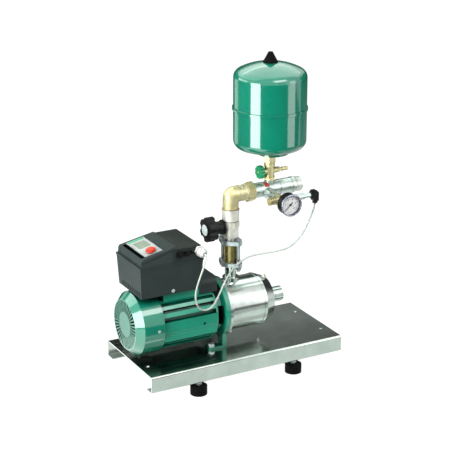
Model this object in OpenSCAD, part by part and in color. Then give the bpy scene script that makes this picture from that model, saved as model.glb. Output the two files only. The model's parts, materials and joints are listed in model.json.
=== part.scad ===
// Booster pump set: a horizontal multistage pump with its motor and frequency converter on a
// folded base plate, a riser with check valve and stop valve, a manifold, a vessel and a gauge.
// +X runs along the pump axis from fan to suction, +Z is up, z = 0 is the underside of the feet.

/* [Base] */
// length of the folded base plate
base_l = 610; // [500:1:720]
// width of the base plate
base_w = 292; // [240:1:340]
// height of the base plate's folded sides
base_h = 48; // [36:1:64]
// sheet thickness of the base plate
base_t = 2.5; // [1.5:0.1:4]
// outside radius of the folds
fold_r = 5; // [4.5:0.5:9]
// width of the lips that turn inward under the sides
lip_w = 33; // [26:1:45]
// height of one rubber foot
foot_h = 25; // [15:1:40]
// diameter of one rubber foot
foot_d = 48; // [36:1:56]
// bare height between a foot and its lip
foot_gap = 13; // [9:1:25]
// diameter of a foot's stud
stud_d = 10; // [8:1:12]
// distance of the feet from the base's ends
foot_in = 152; // [100:1:190]
// distance of the anchor holes from the base's ends
anchor_in = 24; // [15:1:40]
// distance of the anchor holes from the middle line
anchor_dy = 72; // [50:1:90]
// diameter of an anchor hole
anchor_d = 9; // [6:0.5:14]

/* [Motor] */
// height of the pump axis over the base plate
axis_h = 105.5; // [98:0.5:130]
// how far the fan cover stands past the end of the base
fan_overhang = 10; // [2:1:20]
// length of the fan cover
fan_cover_l = 81; // [70:1:100]
// outside radius of the fan cover
fan_cover_r = 91; // [90:0.5:96]
// wall of the fan cover
fan_cover_t = 2.5; // [1.5:0.1:3]
// radius of the flat grille at the cover's end
grille_r = 72; // [60:1:76]
// length of the cone between grille and rim
fan_cone_l = 20; // [14:1:26]
// thickness of the grille
grille_t = 6; // [4:0.5:8]
// number of slots in the grille
grille_slots = 40; // [24:1:44]
// radius where the slots start
slot_r0 = 36; // [30:1:44]
// length of the finned motor housing
motor_l = 164.5; // [150:0.5:190]
// radius over the motor's fins
motor_r = 86; // [82:0.5:87]
// radius of the housing between its fins
core_r = 70.5; // [68:0.5:76]
// thickness of one fin
fin_t = 6; // [3:0.5:8]
// wall of the housing at its bore
motor_wall = 8; // [6:0.5:12]
// thickness of the shield that carries the rear bearing
shield_t = 10; // [8:0.5:14]
// length of the stator core
stator_l = 100; // [80:1:110]
// radius of the rotor core
rotor_r = 36; // [28:0.5:42]
// radius of the fan's blades
fan_r = 76; // [60:1:80]
// number of fan blades
fan_blades = 8; // [5:1:12]

/* [Shaft] */
// diameter of the shaft in its bearings
shaft_d = 17; // [14:0.5:20]
// outside diameter of a bearing
bearing_d = 40; // [35:1:47]
// width of a bearing
bearing_w = 10; // [8:0.5:10]

/* [Pump] */
// length of the lantern between motor and pump
lantern_l = 44.5; // [40:0.5:60]
// radius of the lantern's drum
drum_r = 70; // [64:0.5:74]
// wall of the drum
drum_t = 7; // [5:0.5:10]
// thickness of the lantern's front disc
front_t = 14; // [13:0.5:18]
// how far the flange between lantern and barrel stands out past the barrel
flange_rim = 11.5; // [10:0.5:16]
// thickness of the barrel's flange
flange_t = 8; // [4:0.5:10]
// radius of the pump barrel
barrel_r = 74.5; // [70:0.5:75]
// length of the pump barrel
barrel_l = 122; // [112:1:150]
// wall of the barrel and its end cover
barrel_t = 2.5; // [1.5:0.1:4]
// length of the dished end
dish_l = 33; // [24:1:44]
// radius of the flat at the end of the dish
dish_r = 62; // [45:1:66]
// number of pump stages
stages = 3; // [2:1:3]
// length of one stage
stage_l = 20; // [18:0.5:22]
// radius of an impeller
impeller_r = 56; // [40:1:62]
// outside radius of the suction nozzle
suction_r = 22; // [20:0.5:26]
// bore radius of the suction nozzle
suction_bore_r = 16; // [12:0.5:17]
// length of the suction nozzle past the end cover
suction_l = 39; // [30:1:60]
// length of the neck on the end cover
neck_l = 14; // [10:0.5:24]
// height of the foot pads
pad_t = 7; // [6:0.5:12]
// distance of the pad bolts from the middle line
pad_dy = 47.5; // [44:0.5:60]

/* [Riser] */
// distance of the riser from the barrel's flange
riser_dx = 43.5; // [38:0.5:50]
// height of the stub over the pump axis
stub_h = 130; // [120:1:180]
// outside radius of the stub
stub_r = 16.5; // [14:0.5:18]
// bore radius through the riser
riser_bore_r = 13; // [9:0.5:13]
// thickness of an oval flange
oval_t = 11; // [8:0.5:16]
// radius of an oval flange's middle
oval_r = 28; // [26:0.5:32]
// distance of an oval flange's bolts from its middle
oval_bolt_r = 30; // [29.5:0.5:36]
// turn of the oval flanges from the pump axis
oval_turn = -70; // [-90:1:-50]
// radius of the check valve
check_r = 21; // [20:0.5:23]
// height of the check valve
check_h = 54; // [44:1:66]
// lift of the check disc
check_lift = 8; // [4:0.5:9]
// height of the stop valve's middle over its flange
valve_mid = 40; // [30:0.5:44]
// radius of the stop valve's body
valve_r = 22.5; // [22:0.5:26]
// radius of the ball
ball_r = 18.5; // [17:0.5:19]
// height of the stop valve's body over its flange
valve_h = 58; // [56:0.5:70]
// height of the socket on the stop valve
socket_h = 33; // [24:1:44]
// radius of the socket on the stop valve
socket_r = 24; // [23.5:0.5:28]
// length of the star knob from the riser's middle
knob_reach = 83; // [75:1:110]
// radius of the star knob
star_r = 35; // [28:1:44]
// thickness of the star
star_t = 25; // [16:1:30]

/* [Manifold] */
// radius of the manifold pipe
pipe_r = 21.2; // [19:0.1:22]
// radius of the elbow's legs
elbow_r = 22.4; // [22:0.1:23.5]
// wall of the manifold pipe
pipe_t = 3.2; // [2:0.1:4]
// height of the manifold over the stop valve's socket
pipe_rise = 41; // [36:1:60]
// bend radius of the elbow's middle line
bend_r = 8; // [6:0.5:12]
// length of the elbow's collar
collar_l = 43.5; // [36:0.5:54]
// length of the union nut
nut_l = 19; // [14:1:28]
// width across flats of the union nut
nut_af = 52; // [46:1:54]
// distance from riser to vessel
vessel_dx = 124.5; // [110:0.5:150]
// length of pipe past the vessel
outlet_l = 99; // [80:1:130]
// length of the outlet's thread
thread_l = 22; // [16:1:30]

/* [Vessel] */
// radius of the vessel
vessel_r = 103; // [85:0.5:120]
// height of the vessel's lower shell from its ring to the seam
lower_h = 134; // [120:1:170]
// height of the upper shell from the seam to its crown
upper_h = 130; // [115:1:170]
// radius of the shells' knuckles
knuckle_r = 25; // [18:1:35]
// radius of the upper shell's crown
crown_r = 200; // [180:1:260]
// radius of the lower shell's crown
low_crown_r = 300; // [250:1:400]
// wall of the shells
vessel_t = 1.5; // [1:0.1:3]
// how far the seam stands out
seam_out = 3; // [2:0.5:5]
// height of the vessel's valve between pipe and vessel
flow_valve_h = 83; // [75:1:100]
// radius of the ring under the vessel
ring_r = 44; // [36:1:50]
// how far the ring sits off the vessel's axis
ring_dx = 10; // [0:1:12]
// height of the cap on the vessel
cap_h = 28; // [25:1:40]
// radius of the cap's foot
cap_r = 21; // [16:0.5:26]

/* [Instruments] */
// distance of the gauge's tee from the pipe's axis
tee_dy = 90; // [84:1:110]
// how far the tee lies below the pipe's axis
tee_drop = 7; // [0:0.5:8]
// place of the tee along the pipe, from the vessel's axis
tee_dx = -13; // [-20:0.5:-12.5]
// radius of the tee
tee_r = 11; // [10:0.5:14]
// radius of the gauge
gauge_r = 31.5; // [25:0.5:40]
// depth of the gauge's case
gauge_l = 27; // [20:0.5:40]
// distance from the tee's middle to the back of the gauge
gauge_reach = 30; // [24:1:50]
// length of the transmitter
transmitter_l = 76; // [60:0.5:85]
// diameter of the sensor cable
cable_d = 5; // [3:0.5:6]

/* [Converter] */
// length of the converter
conv_l = 192; // [180:1:205]
// half width of the converter's rim
conv_w = 80; // [75:0.5:90]
// half width of the converter's underside
conv_low_w = 73; // [66:0.5:75]
// distance of the converter from the fan cover's grille
conv_dx = 14; // [8:1:24]
// height of the converter's underside over the pump axis
conv_z = 96; // [94:0.5:110]
// height of the converter's tub
tub_h = 91; // [80:1:105]
// height of the tub's rim
rim_h = 6; // [4:0.5:10]
// half width of the cover
cover_w = 71; // [68:0.5:73]
// height of the cover over the rim at the fan end
cover_h0 = 22; // [18:0.5:26]
// height of the cover over the rim at its crown
cover_h1 = 43; // [40:0.5:50]
// length of the slope that carries the panel
slope_l = 100; // [92:1:108]
// thickness of the lid over the terminals
lid_t = 7; // [5:0.5:9]
// length of the display panel along the slope
panel_l = 53; // [44:1:56]
// half width of the display panel
panel_w = 61; // [54:0.5:64]
// thickness of the display panel
panel_t = 2; // [1.5:0.1:3]
// radius of the red knob
button_r = 14; // [10:0.5:16]
// height of the red knob
button_h = 7; // [5:0.5:10]
// radius of the encoder's shaft
encoder_r = 3; // [2:0.25:4]
// travel of the red knob when it is pressed
press = 1.5; // [0.5:0.1:2]
// half width of the seat and the terminal box under the converter
adapter_w = 56; // [48:1:60]
// length of the terminal box past the converter
adapter_out = 54; // [40:1:60]
// height of the terminal box over the converter's underside
adapter_up = 18; // [8:0.5:24]

/* [Clearances] */
// play of a fixed round fit, each side
fit_gap = 0.15; // [0.1:0.01:0.3]
// running play of a shaft in its bearing, each side
run_gap = 0.05; // [0.02:0.01:0.1]
// clear gap between pieces that move past each other
clear = 1; // [0.5:0.1:1.5]

/* [Hidden] */
$fn = 64;

// heights
lip_z = foot_h + foot_gap;
base_top = lip_z + base_h;
axis_z = base_top + axis_h;
// places along the pump axis
grille_x = -(base_l + fan_overhang) / 2;
base_x = grille_x + fan_overhang;
base_mid = base_x + base_l / 2;
foot_dx = base_l / 2 - foot_in;
anchor_dx = base_l / 2 - anchor_in;
shield_x = grille_x + fan_cover_l - shield_t;
motor_x = shield_x + shield_t;
lantern_x = motor_x + motor_l;
flange_x = lantern_x + lantern_l;
dish_x = flange_x + barrel_l;
neck_x = dish_x + dish_l;
nozzle_x = neck_x + neck_l;
// bearings and shaft
shaft_r = shaft_d / 2;
bearing_r = bearing_d / 2;
rear_bearing_x = shield_x;
front_bearing_x = lantern_x - bearing_w;
lantern_back_t = 5;
front_wall_t = bearing_w + 2;
core_l = stator_l;
core_x = motor_x + (motor_l - stator_l - front_wall_t) / 2;
fan_l = 30;
fan_x = shield_x - clear - 2 - fan_l;
stage_x = dish_x - stages * stage_l - 2;
shaft_x0 = fan_x;
shaft_x1 = dish_x - 2;
seal_l = 12;
// flange between lantern and barrel, with its bolts
flange_r = barrel_r + flange_rim;
casing_bolt_af = 10;
casing_bolt_r = barrel_r + flange_rim / 2 + 0.6;
casing_bolt_d = 6;
casing_bolts_n = 6;
// pads
pad_half = 11;
pad_bolt_in = 30;
pad_bolt_d = 10;
pad_bolt_x = flange_x - front_t - pad_bolt_in;
// riser
riser_x = flange_x + riser_dx;
stub_top = axis_z + stub_h;
lower_flange_z = stub_top - oval_t;
check_z = stub_top;
upper_flange_z = check_z + check_h;
valve_z = upper_flange_z + oval_t;
ball_z = valve_z + valve_mid;
socket_z = valve_z + valve_h;
socket_top = socket_z + socket_h;
pipe_z = socket_top + pipe_rise;
spigot = 14;
oval_lug_r = 11;
oval_bolt_d = 10;
// valve knob
stem_r = 5;
bonnet_r = 13;
bonnet_l = 34;
waist_h = 3;
knob_x = riser_x - knob_reach;
star_x = knob_x + 3;
sleeve_r = 18.5;
cap_face_r = 16;
// manifold
collar_x = riser_x + bend_r;
nut_x = collar_x + collar_l;
vessel_x = riser_x + vessel_dx;
outlet_x = vessel_x + outlet_l;
pipe_in_r = pipe_r - pipe_t;
top_boss_r = 14;
top_boss_z = pipe_z + pipe_r + 6;
// vessel valve
flow_mid = top_boss_z + 25;
flow_top = top_boss_z + flow_valve_h - 27;
flow_bore_r = 8;
spindle_r = 4;
flow_knob_r = 19;
flow_knob_t = 12;
flow_knob_x = vessel_x - 36;
// vessel
ring_z = flow_top + 19;
seam_z = ring_z + lower_h;
crown_z = seam_z + upper_h;
stub_pipe_r = 13;
seam_h = 4;
seam_up = 3;
ring_h = 7;
ring_sag = low_crown_r - sqrt(pow(low_crown_r, 2) - pow(ring_r + ring_dx, 2));
ring_top = ring_z + ring_h + ring_sag + vessel_t / 2;
neck_nut_h = 18;
// gauge
tee_y = -tee_dy;
tee_z = pipe_z - tee_drop;
tee_x = vessel_x + tee_dx;
tee_half = 18;
boss_r = 13;
boss_end = tee_y + tee_r + 8;
gauge_back = tee_y - gauge_reach;
gauge_face = gauge_back - gauge_l;
plug_x = tee_x - tee_half;
trans_x = tee_x + tee_half;
conn_x = trans_x + transmitter_l;
conn_z = tee_z - 24.5;
// converter
conv_x = grille_x + conv_dx;
conv_end = conv_x + conv_l;
tub_z = axis_z + conv_z;
rim_z = tub_z + tub_h;
slope_a = atan((cover_h1 - cover_h0) / slope_l);
cover_x = conv_x + 5;
slope_z = rim_z + cover_h0;
recess_at = 3;
recess_l = 10.5;
recess_t = 9;
panel_at = recess_at + recess_l + 1.5;
lid_x = cover_x + slope_l + 8;
lid_end = conv_end - 5;
adapter_x = motor_x + 12;
adapter_end = conv_end + adapter_out;
adapter_z = axis_z + core_r + 1;
button_at = panel_at + panel_l * 0.5;
button_y = -panel_w + button_r + 2;
gland_z = rim_z + 23;
gland_x = conv_end - 12;
gland_y = -conv_w + 2;
plate_h = cover_h1 - lid_t - 5;

// route of the sensor cable, from the gland down through its loop, past the flange to the connector
cable_pts = [[-116, -100, 401.5], [-116, -111, 401.5], [-118, -119, 399], [-121, -126, 393],
    [-126, -130, 384], [-133, -132, 369], [-141, -132, 349], [-148, -129, 325], [-151.5, -125, 302],
    [-150, -120, 278], [-143, -116, 258], [-133, -113, 245], [-121, -110, 238], [-109, -108, 236],
    [-97, -105, 237.5], [-85, -100.5, 242.5], [-75, -96, 251], [-64, -91, 262], [-52.5, -84, 274],
    [-41, -77, 285.5], [-29, -70, 296], [-15, -61, 307], [-0.5, -52, 314.5], [13, -45, 321],
    [26.5, -42, 327.5], [36.5, -43, 333], [48, -45.5, 339], [65.5, -49, 344.5], [88.5, -54.5, 347.5],
    [117, -61.5, 350], [140.5, -66.5, 352], [160.5, -71.5, 356], [177.5, -76, 363.5], [193, -80, 377],
    [207, -83.5, 394], [218.5, -86, 413.5], [229, -88, 435.5], [238, -89.5, 458], [243, -90, 473],
    [245.5, -90, 487]];

// points along a smooth line through the route
function cat_at(p0, p1, p2, p3, t) = 0.5 * (2 * p1 + (p2 - p0) * t
    + (2 * p0 - 5 * p1 + 4 * p2 - p3) * t * t + (3 * p1 - p0 - 3 * p2 + p3) * t * t * t);
function route_at(pts, i, t) = cat_at(pts[max(i - 1, 0)], pts[i], pts[i + 1],
    pts[min(i + 2, len(pts) - 1)], t);
function route(pts, per) = concat([for (i = [0 : len(pts) - 2]) for (k = [0 : per - 1])
    route_at(pts, i, k / per)], [pts[len(pts) - 1]]);
function unit(v) = v / norm(v);
function side_of(d) = unit(cross(d, abs(d[2]) > 0.99 ? [0, 1, 0] : [0, 0, 1]));
// carries one ring's side direction on to the next ring, so the tube doesn't twist
function carried(s, d) = unit(s - d * (s * d));
function heading(p, i) = unit(p[min(i + 1, len(p) - 1)] - p[max(i - 1, 0)]);
function sides(p, i, s) = i >= len(p) ? [] : concat([carried(s, heading(p, i))],
    sides(p, i + 1, carried(s, heading(p, i))));
function tube_points(p, r, n) = let (sd = sides(p, 0, side_of(heading(p, 0))))
    [for (i = [0 : len(p) - 1]) let (d = heading(p, i), u = sd[i], v = cross(d, u))
    for (k = [0 : n - 1]) p[i] + r * (u * cos(360 * k / n) + v * sin(360 * k / n))];
function tube_faces(m, n) = concat([[for (k = [0 : n - 1]) k]],
    [for (i = [0 : m - 2]) for (k = [0 : n - 1]) [i * n + k, (i + 1) * n + k,
    (i + 1) * n + (k + 1) % n, i * n + (k + 1) % n]],
    [[for (k = [n - 1 : -1 : 0]) (m - 1) * n + k]]);

// a round bar along +X, +Y or +Z
module bar_x(r, x0, x1) {
    translate([x0, 0, 0]) rotate([0, 90, 0]) cylinder(r = r, h = x1 - x0);
}
module bar_y(r, y0, y1) {
    translate([0, y1, 0]) rotate([90, 0, 0]) cylinder(r = r, h = y1 - y0);
}
module bar_z(r, z0, z1) {
    translate([0, 0, z0]) cylinder(r = r, h = z1 - z0);
}
// a cone along +X
module cone_x(r0, r1, x0, x1) {
    translate([x0, 0, 0]) rotate([0, 90, 0]) cylinder(r1 = r0, r2 = r1, h = x1 - x0);
}
// a hexagon bar along +Z, by its width across flats
module hex_z(af, z0, z1) {
    translate([0, 0, z0]) cylinder(r = af / sqrt(3), h = z1 - z0, $fn = 6);
}
module hex_x(af, x0, x1) {
    translate([x0, 0, 0]) rotate([0, 90, 0]) cylinder(r = af / sqrt(3), h = x1 - x0, $fn = 6);
}
// a flat outline in Y and Z, drawn out along +X
module along_x(x0, x1) {
    translate([x0, 0, 0]) rotate([90, 0, 90]) linear_extrude(x1 - x0) children();
}
// a flat outline in X and Z, drawn out along +Y
module along_y(y0, y1) {
    translate([0, y1, 0]) rotate([90, 0, 0]) linear_extrude(y1 - y0) children();
}
// everything on the pump axis
module on_axis() {
    translate([0, 0, axis_z]) children();
}
module on_riser() {
    translate([riser_x, 0, 0]) children();
}
module at_feet() {
    for (sx = [-1, 1]) for (sy = [-1, 1])
        translate([base_mid + sx * foot_dx, sy * (base_w / 2 - lip_w / 2 + 1), 0]) children();
}
module at_pads() {
    for (sy = [-1, 1]) translate([pad_bolt_x, sy * pad_dy, base_top]) children();
}
module at_casing_bolts() {
    for (i = [0 : casing_bolts_n - 1])
        rotate([360 * i / casing_bolts_n + 15, 0, 0]) translate([0, 0, casing_bolt_r]) children();
}
// rounded rectangle from its middle
module round_rect(w, h, r) {
    square([w - 2 * r, h], center = true);
    square([w, h - 2 * r], center = true);
    for (sx = [-1, 1]) for (sy = [-1, 1]) translate([sx * (w / 2 - r), sy * (h / 2 - r)]) circle(r);
}
// oval flange: a middle and two lugs under one outline
module oval_plate(z0, z1) {
    hull() {
        translate([0, 0, z0]) cylinder(r = oval_r, h = z1 - z0, $fn = 48);
        at_oval_bolts() translate([0, 0, z0]) cylinder(r = oval_lug_r, h = z1 - z0, $fn = 32);
    }
}
module at_oval_bolts() {
    for (s = [0, 180]) rotate(oval_turn + s) translate([oval_bolt_r, 0, 0]) children();
}

module base_plate() {
    color([0.72, 0.75, 0.73]) difference() {
        along_x(base_x, base_x + base_l) translate([0, lip_z + base_h / 2]) difference() {
            round_rect(base_w, base_h, fold_r);
            round_rect(base_w - 2 * base_t, base_h - 2 * base_t, fold_r - base_t);
            translate([0, -base_h / 2]) square([base_w - 2 * lip_w, 4 * base_t], center = true);
        }
        for (sx = [-1, 1]) for (sy = [-1, 1]) translate([base_mid + sx * anchor_dx, sy * anchor_dy, 0])
            bar_z(anchor_d / 2, base_top - 2 * base_t, base_top + 1);
        at_pads() bar_z(pad_bolt_d / 2 + fit_gap, -2 * base_t, 1);
        at_feet() bar_z(stud_d / 2 + fit_gap, lip_z - 1, lip_z + 2 * base_t);
    }
}
stud_in = 12;
stud_nut_h = 8;
module foot_buffers() {
    color([0.06, 0.06, 0.06]) at_feet() difference() {
        bar_z(foot_d / 2, 0, foot_h);
        bar_z(stud_d / 2 + fit_gap, foot_h - stud_in, foot_h + 1);
    }
}
module foot_studs() {
    color([0.8, 0.8, 0.78]) at_feet() {
        bar_z(stud_d / 2, foot_h - stud_in, lip_z + base_t + stud_nut_h + 3);
        hex_z(stud_d * 1.7, lip_z - stud_nut_h, lip_z);
        hex_z(stud_d * 1.7, lip_z + base_t, lip_z + base_t + stud_nut_h);
    }
}
module fan_cover() {
    k = fan_cover_t;
    color([0.08, 0.55, 0.44]) on_axis() difference() {
        translate([grille_x, 0, 0]) rotate([0, 90, 0]) rotate_extrude() difference() {
            polygon([[0, 0], [grille_r, 0], [fan_cover_r, fan_cone_l], [fan_cover_r, fan_cover_l],
                [0, fan_cover_l]]);
            polygon([[0, grille_t], [grille_r - k + (fan_cover_r - grille_r) * grille_t / fan_cone_l,
                grille_t], [fan_cover_r - k, fan_cone_l + 1], [fan_cover_r - k, fan_cover_l + 1],
                [0, fan_cover_l + 1]]);
        }
        for (i = [0 : grille_slots - 1]) rotate([360 * i / grille_slots, 0, 0])
            along_x(grille_x - 1, grille_x + grille_t + 1) polygon([[-slot_r0 * 0.04, slot_r0],
            [slot_r0 * 0.04, slot_r0], [grille_r * 0.042, grille_r - 3],
            [-grille_r * 0.042, grille_r - 3]]);
    }
}
module cooling_fan() {
    color([0.12, 0.12, 0.12]) on_axis() difference() {
        union() {
            bar_x(shaft_r + 6, fan_x, fan_x + fan_l);
            bar_x(fan_r - 6, fan_x + fan_l - 3, fan_x + fan_l);
            for (i = [0 : fan_blades - 1]) rotate([360 * i / fan_blades, 0, 0])
                translate([fan_x, -1.5, shaft_r + 2]) cube([fan_l, 3, fan_r - shaft_r - 2]);
        }
        bar_x(shaft_r + fit_gap, fan_x - 1, fan_x + fan_l + 1);
    }
}
// outline of the finned housing: round core, side panels and fins
side_hi = 17;
side_lo = 40;
side_hole_in = 39;
seat_gap = 3;
fin_angles = [25, 39, 52, -36, -48, -60, -72];
fin_shares = [2.1, 1.7, 1.5, 1, 1, 1, 1];
module motor_outline() {
    circle(core_r);
    for (sy = [-1, 1]) {
        translate([sy > 0 ? 0 : -motor_r + 3, -side_lo]) square([motor_r - 3, side_lo + side_hi]);
        for (i = [0 : len(fin_angles) - 1]) let (t = fin_t * fin_shares[i])
            rotate(sy > 0 ? fin_angles[i] : 180 - fin_angles[i]) translate([0, -t / 2]) square([motor_r, t]);
    }
    translate([-adapter_w + 4, 0]) square([2 * adapter_w - 8, adapter_z - axis_z]);
}
module motor_housing() {
    color([0.08, 0.55, 0.44]) on_axis() difference() {
        union() {
            along_x(motor_x, lantern_x) motor_outline();
            along_x(adapter_x, conv_end - seat_gap) translate([-adapter_w, core_r - 2])
                square([2 * adapter_w, conv_z - core_r + 2]);
            bar_x(fan_cover_r - fan_cover_t - fit_gap, shield_x, motor_x);
        }
        bar_x(core_r - motor_wall, motor_x, lantern_x + 1);
        bar_x(bearing_r + fit_gap, shield_x - 1, shield_x + bearing_w);
        bar_x(shaft_r + 2, shield_x - 1, motor_x + 1);
        for (sy = [-1, 1]) for (part = [0.33, 0.53])
            translate([0, sy * (motor_r - 3), -part * side_lo])
            rotate([45, 0, 0]) translate([motor_x - 1, -0.7, -0.7]) cube([motor_l + 2, 1.4, 1.4]);
        for (sy = [-1, 1]) translate([lantern_x - side_hole_in, sy * (motor_r - 3), -7])
            bar_y(4, -4, 4);
    }
}
module stator() {
    color([0.35, 0.35, 0.36]) on_axis() difference() {
        union() {
            bar_x(core_r - motor_wall - fit_gap, core_x, core_x + core_l);
            bar_x(core_r - motor_wall - 6, core_x - 15, core_x + core_l + 15);
        }
        bar_x(rotor_r + 0.5, core_x - 16, core_x + core_l + 16);
    }
}
module rotor_core() {
    color([0.5, 0.5, 0.52]) on_axis() difference() {
        bar_x(rotor_r, core_x, core_x + core_l);
        bar_x(shaft_r + 2.5 + fit_gap, core_x - 1, core_x + core_l + 1);
    }
}
module pump_shaft() {
    color([0.7, 0.7, 0.72]) on_axis() {
        bar_x(shaft_r, shaft_x0, shaft_x1);
        bar_x(shaft_r + 2.5, shield_x + bearing_w + 2, lantern_x - front_wall_t - 2);
    }
}
module shaft_bearings() {
    color([0.6, 0.6, 0.62]) on_axis() for (x = [rear_bearing_x, front_bearing_x]) difference() {
        bar_x(bearing_r, x, x + bearing_w);
        bar_x(shaft_r + run_gap, x - 1, x + bearing_w + 1);
    }
}
// lantern: back disc with bearing seat, drum with windows, front disc with foot
module lantern() {
    x1 = flange_x;
    win_l = lantern_l - lantern_back_t - front_t - 6;
    win_w = drum_r * 0.8;
    win_in = drum_r * 0.35;
    color([0.08, 0.55, 0.44]) difference() {
        union() {
            on_axis() {
                bar_x(core_r - motor_wall - fit_gap, lantern_x - front_wall_t, lantern_x + 1);
                bar_x(motor_r - 3, lantern_x, lantern_x + lantern_back_t);
                bar_x(drum_r, lantern_x, x1);
                cone_x(drum_r, flange_r, x1 - front_t - 6, x1 - front_t);
                bar_x(flange_r, x1 - front_t, x1);
            }
            along_x(x1 - front_t, x1 - 2) translate([0, axis_z]) polygon([[-60, -50], [60, -50],
                [pad_dy + pad_half, -axis_h], [-pad_dy - pad_half, -axis_h]]);
            at_pads() {
                bar_z(pad_half, 0, pad_t);
                translate([0, -pad_half, 0]) cube([pad_bolt_in + 1, 2 * pad_half, pad_t]);
            }
        }
        on_axis() {
            bar_x(drum_r - drum_t, lantern_x + lantern_back_t, x1 - front_t);
            bar_x(bearing_r + fit_gap, front_bearing_x, lantern_x + 1);
            bar_x(shaft_r + 2, lantern_x - front_wall_t - 1, x1 + 1);
            bar_x(bearing_r - 4, lantern_x, x1 - front_t);
            for (a = [-90, -30, 30, 90]) let (w = abs(a) < 60 ? win_w * 0.7 : win_w) rotate([a, 0, 0])
                translate([lantern_x + lantern_back_t + 3, -w / 2, drum_r - win_in])
                    cube([win_l, w, win_in * 2]);
            at_casing_bolts() bar_x(casing_bolt_d / 2 + fit_gap, x1 - 11, x1 + 1);
        }
        translate([0, 0, base_top]) along_x(x1 - front_t - 1, x1 + 1) union() {
            circle(pad_dy - pad_half - 2);
        }
        translate([lantern_x - 1, -adapter_w - clear, adapter_z - clear])
            cube([adapter_end + 2 * clear - lantern_x, 2 * (adapter_w + clear), motor_r]);
        at_pads() bar_z(pad_bolt_d / 2 + fit_gap, -1, pad_t + 1);
    }
}
module pump_bolts() {
    color([0.78, 0.78, 0.76]) at_pads() {
        bar_z(pad_bolt_d / 2, -base_t - 12, pad_t + 1);
        bar_z(pad_bolt_d, pad_t, pad_t + 2);
        hex_z(pad_bolt_d * 1.6, pad_t + 2, pad_t + 8.4);
        hex_z(pad_bolt_d * 1.6, -base_t - 8, -base_t);
    }
}
module casing_bolts() {
    color([0.78, 0.78, 0.76]) on_axis() at_casing_bolts() {
        bar_x(casing_bolt_d / 2, flange_x - 10, flange_x + flange_t + 1);
        hex_x(casing_bolt_af, flange_x + flange_t, flange_x + flange_t + 4.5);
    }
}
module pump_casing() {
    color([0.8, 0.82, 0.8]) difference() {
        union() {
            on_axis() {
                bar_x(flange_r, flange_x, flange_x + flange_t);
                bar_x(barrel_r, flange_x, dish_x);
                bar_x(barrel_r + 1.2, dish_x - 5, dish_x);
            }
            on_riser() {
                bar_z(stub_r, axis_z, stub_top);
                bar_z(stub_r + 7, axis_z, axis_z + barrel_r + 9);
            }
        }
        on_axis() {
            bar_x(barrel_r - barrel_t, flange_x - 1, dish_x + 1);
            at_casing_bolts() bar_x(casing_bolt_d / 2 + fit_gap, flange_x - 1, flange_x + flange_t + 1);
        }
        on_riser() bar_z(riser_bore_r, axis_z, stub_top + 1);
    }
}
module stage_casings() {
    rc = barrel_r - barrel_t - fit_gap;
    color([0.66, 0.68, 0.68]) on_axis() for (i = [0 : stages - 1]) let (x = stage_x + i * stage_l)
        difference() {
            bar_x(rc, x, x + stage_l);
            bar_x(rc - 2.5, x + 3, x + stage_l + 1);
            bar_x(shaft_r + 10 + clear, x - 1, x + 4);
        }
}
module impellers() {
    color([0.6, 0.62, 0.64]) on_axis() for (i = [0 : stages - 1])
        let (x = stage_x + i * stage_l + 3 + clear) difference() {
            union() {
                bar_x(shaft_r + 6, x, x + stage_l - 5);
                bar_x(impeller_r, x, x + 3);
                bar_x(impeller_r, x + stage_l - 9, x + stage_l - 7);
                for (k = [0 : 5]) rotate([60 * k, 0, 0]) translate([x + 1, shaft_r + 3, -1])
                    cube([stage_l - 9, impeller_r - shaft_r - 5, 2]);
            }
            bar_x(shaft_r + fit_gap, x - 1, x + stage_l);
        }
}
module shaft_seal() {
    color([0.25, 0.25, 0.26]) on_axis() difference() {
        bar_x(shaft_r + 11, flange_x, flange_x + seal_l);
        bar_x(shaft_r + run_gap, flange_x - 1, flange_x + seal_l + 1);
    }
}
plug_tilt = atan((barrel_r - dish_r) / (dish_l - 4));
plug_mid_r = (barrel_r + dish_r) / 2;
plug_mid_x = dish_x + 4 + (dish_l - 4) / 2;
module at_plugs() {
    on_axis() for (a = [14, 194]) rotate([a, 0, 0]) translate([plug_mid_x, 0, plug_mid_r])
        rotate([0, plug_tilt, 0]) children();
}
module suction_cover() {
    color([0.78, 0.8, 0.8]) difference() {
        union() {
            on_axis() {
                bar_x(barrel_r, dish_x, dish_x + 4);
                cone_x(barrel_r, dish_r, dish_x + 4, neck_x);
                bar_x(dish_r - 6, neck_x, neck_x + 2);
                cone_x(suction_r + 12, suction_r + 4, neck_x, nozzle_x);
            }
            at_plugs() bar_z(8, -6, 2);
        }
        on_axis() {
            bar_x(barrel_r - barrel_t, dish_x - 1, dish_x + 3);
            cone_x(barrel_r - barrel_t, dish_r - barrel_t, dish_x + 2.9, neck_x - barrel_t);
            bar_x(suction_bore_r + 2 + fit_gap, neck_x - barrel_t - 1, nozzle_x + 1);
        }
        at_plugs() bar_z(5 + fit_gap, -12, 5);
    }
}
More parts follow.
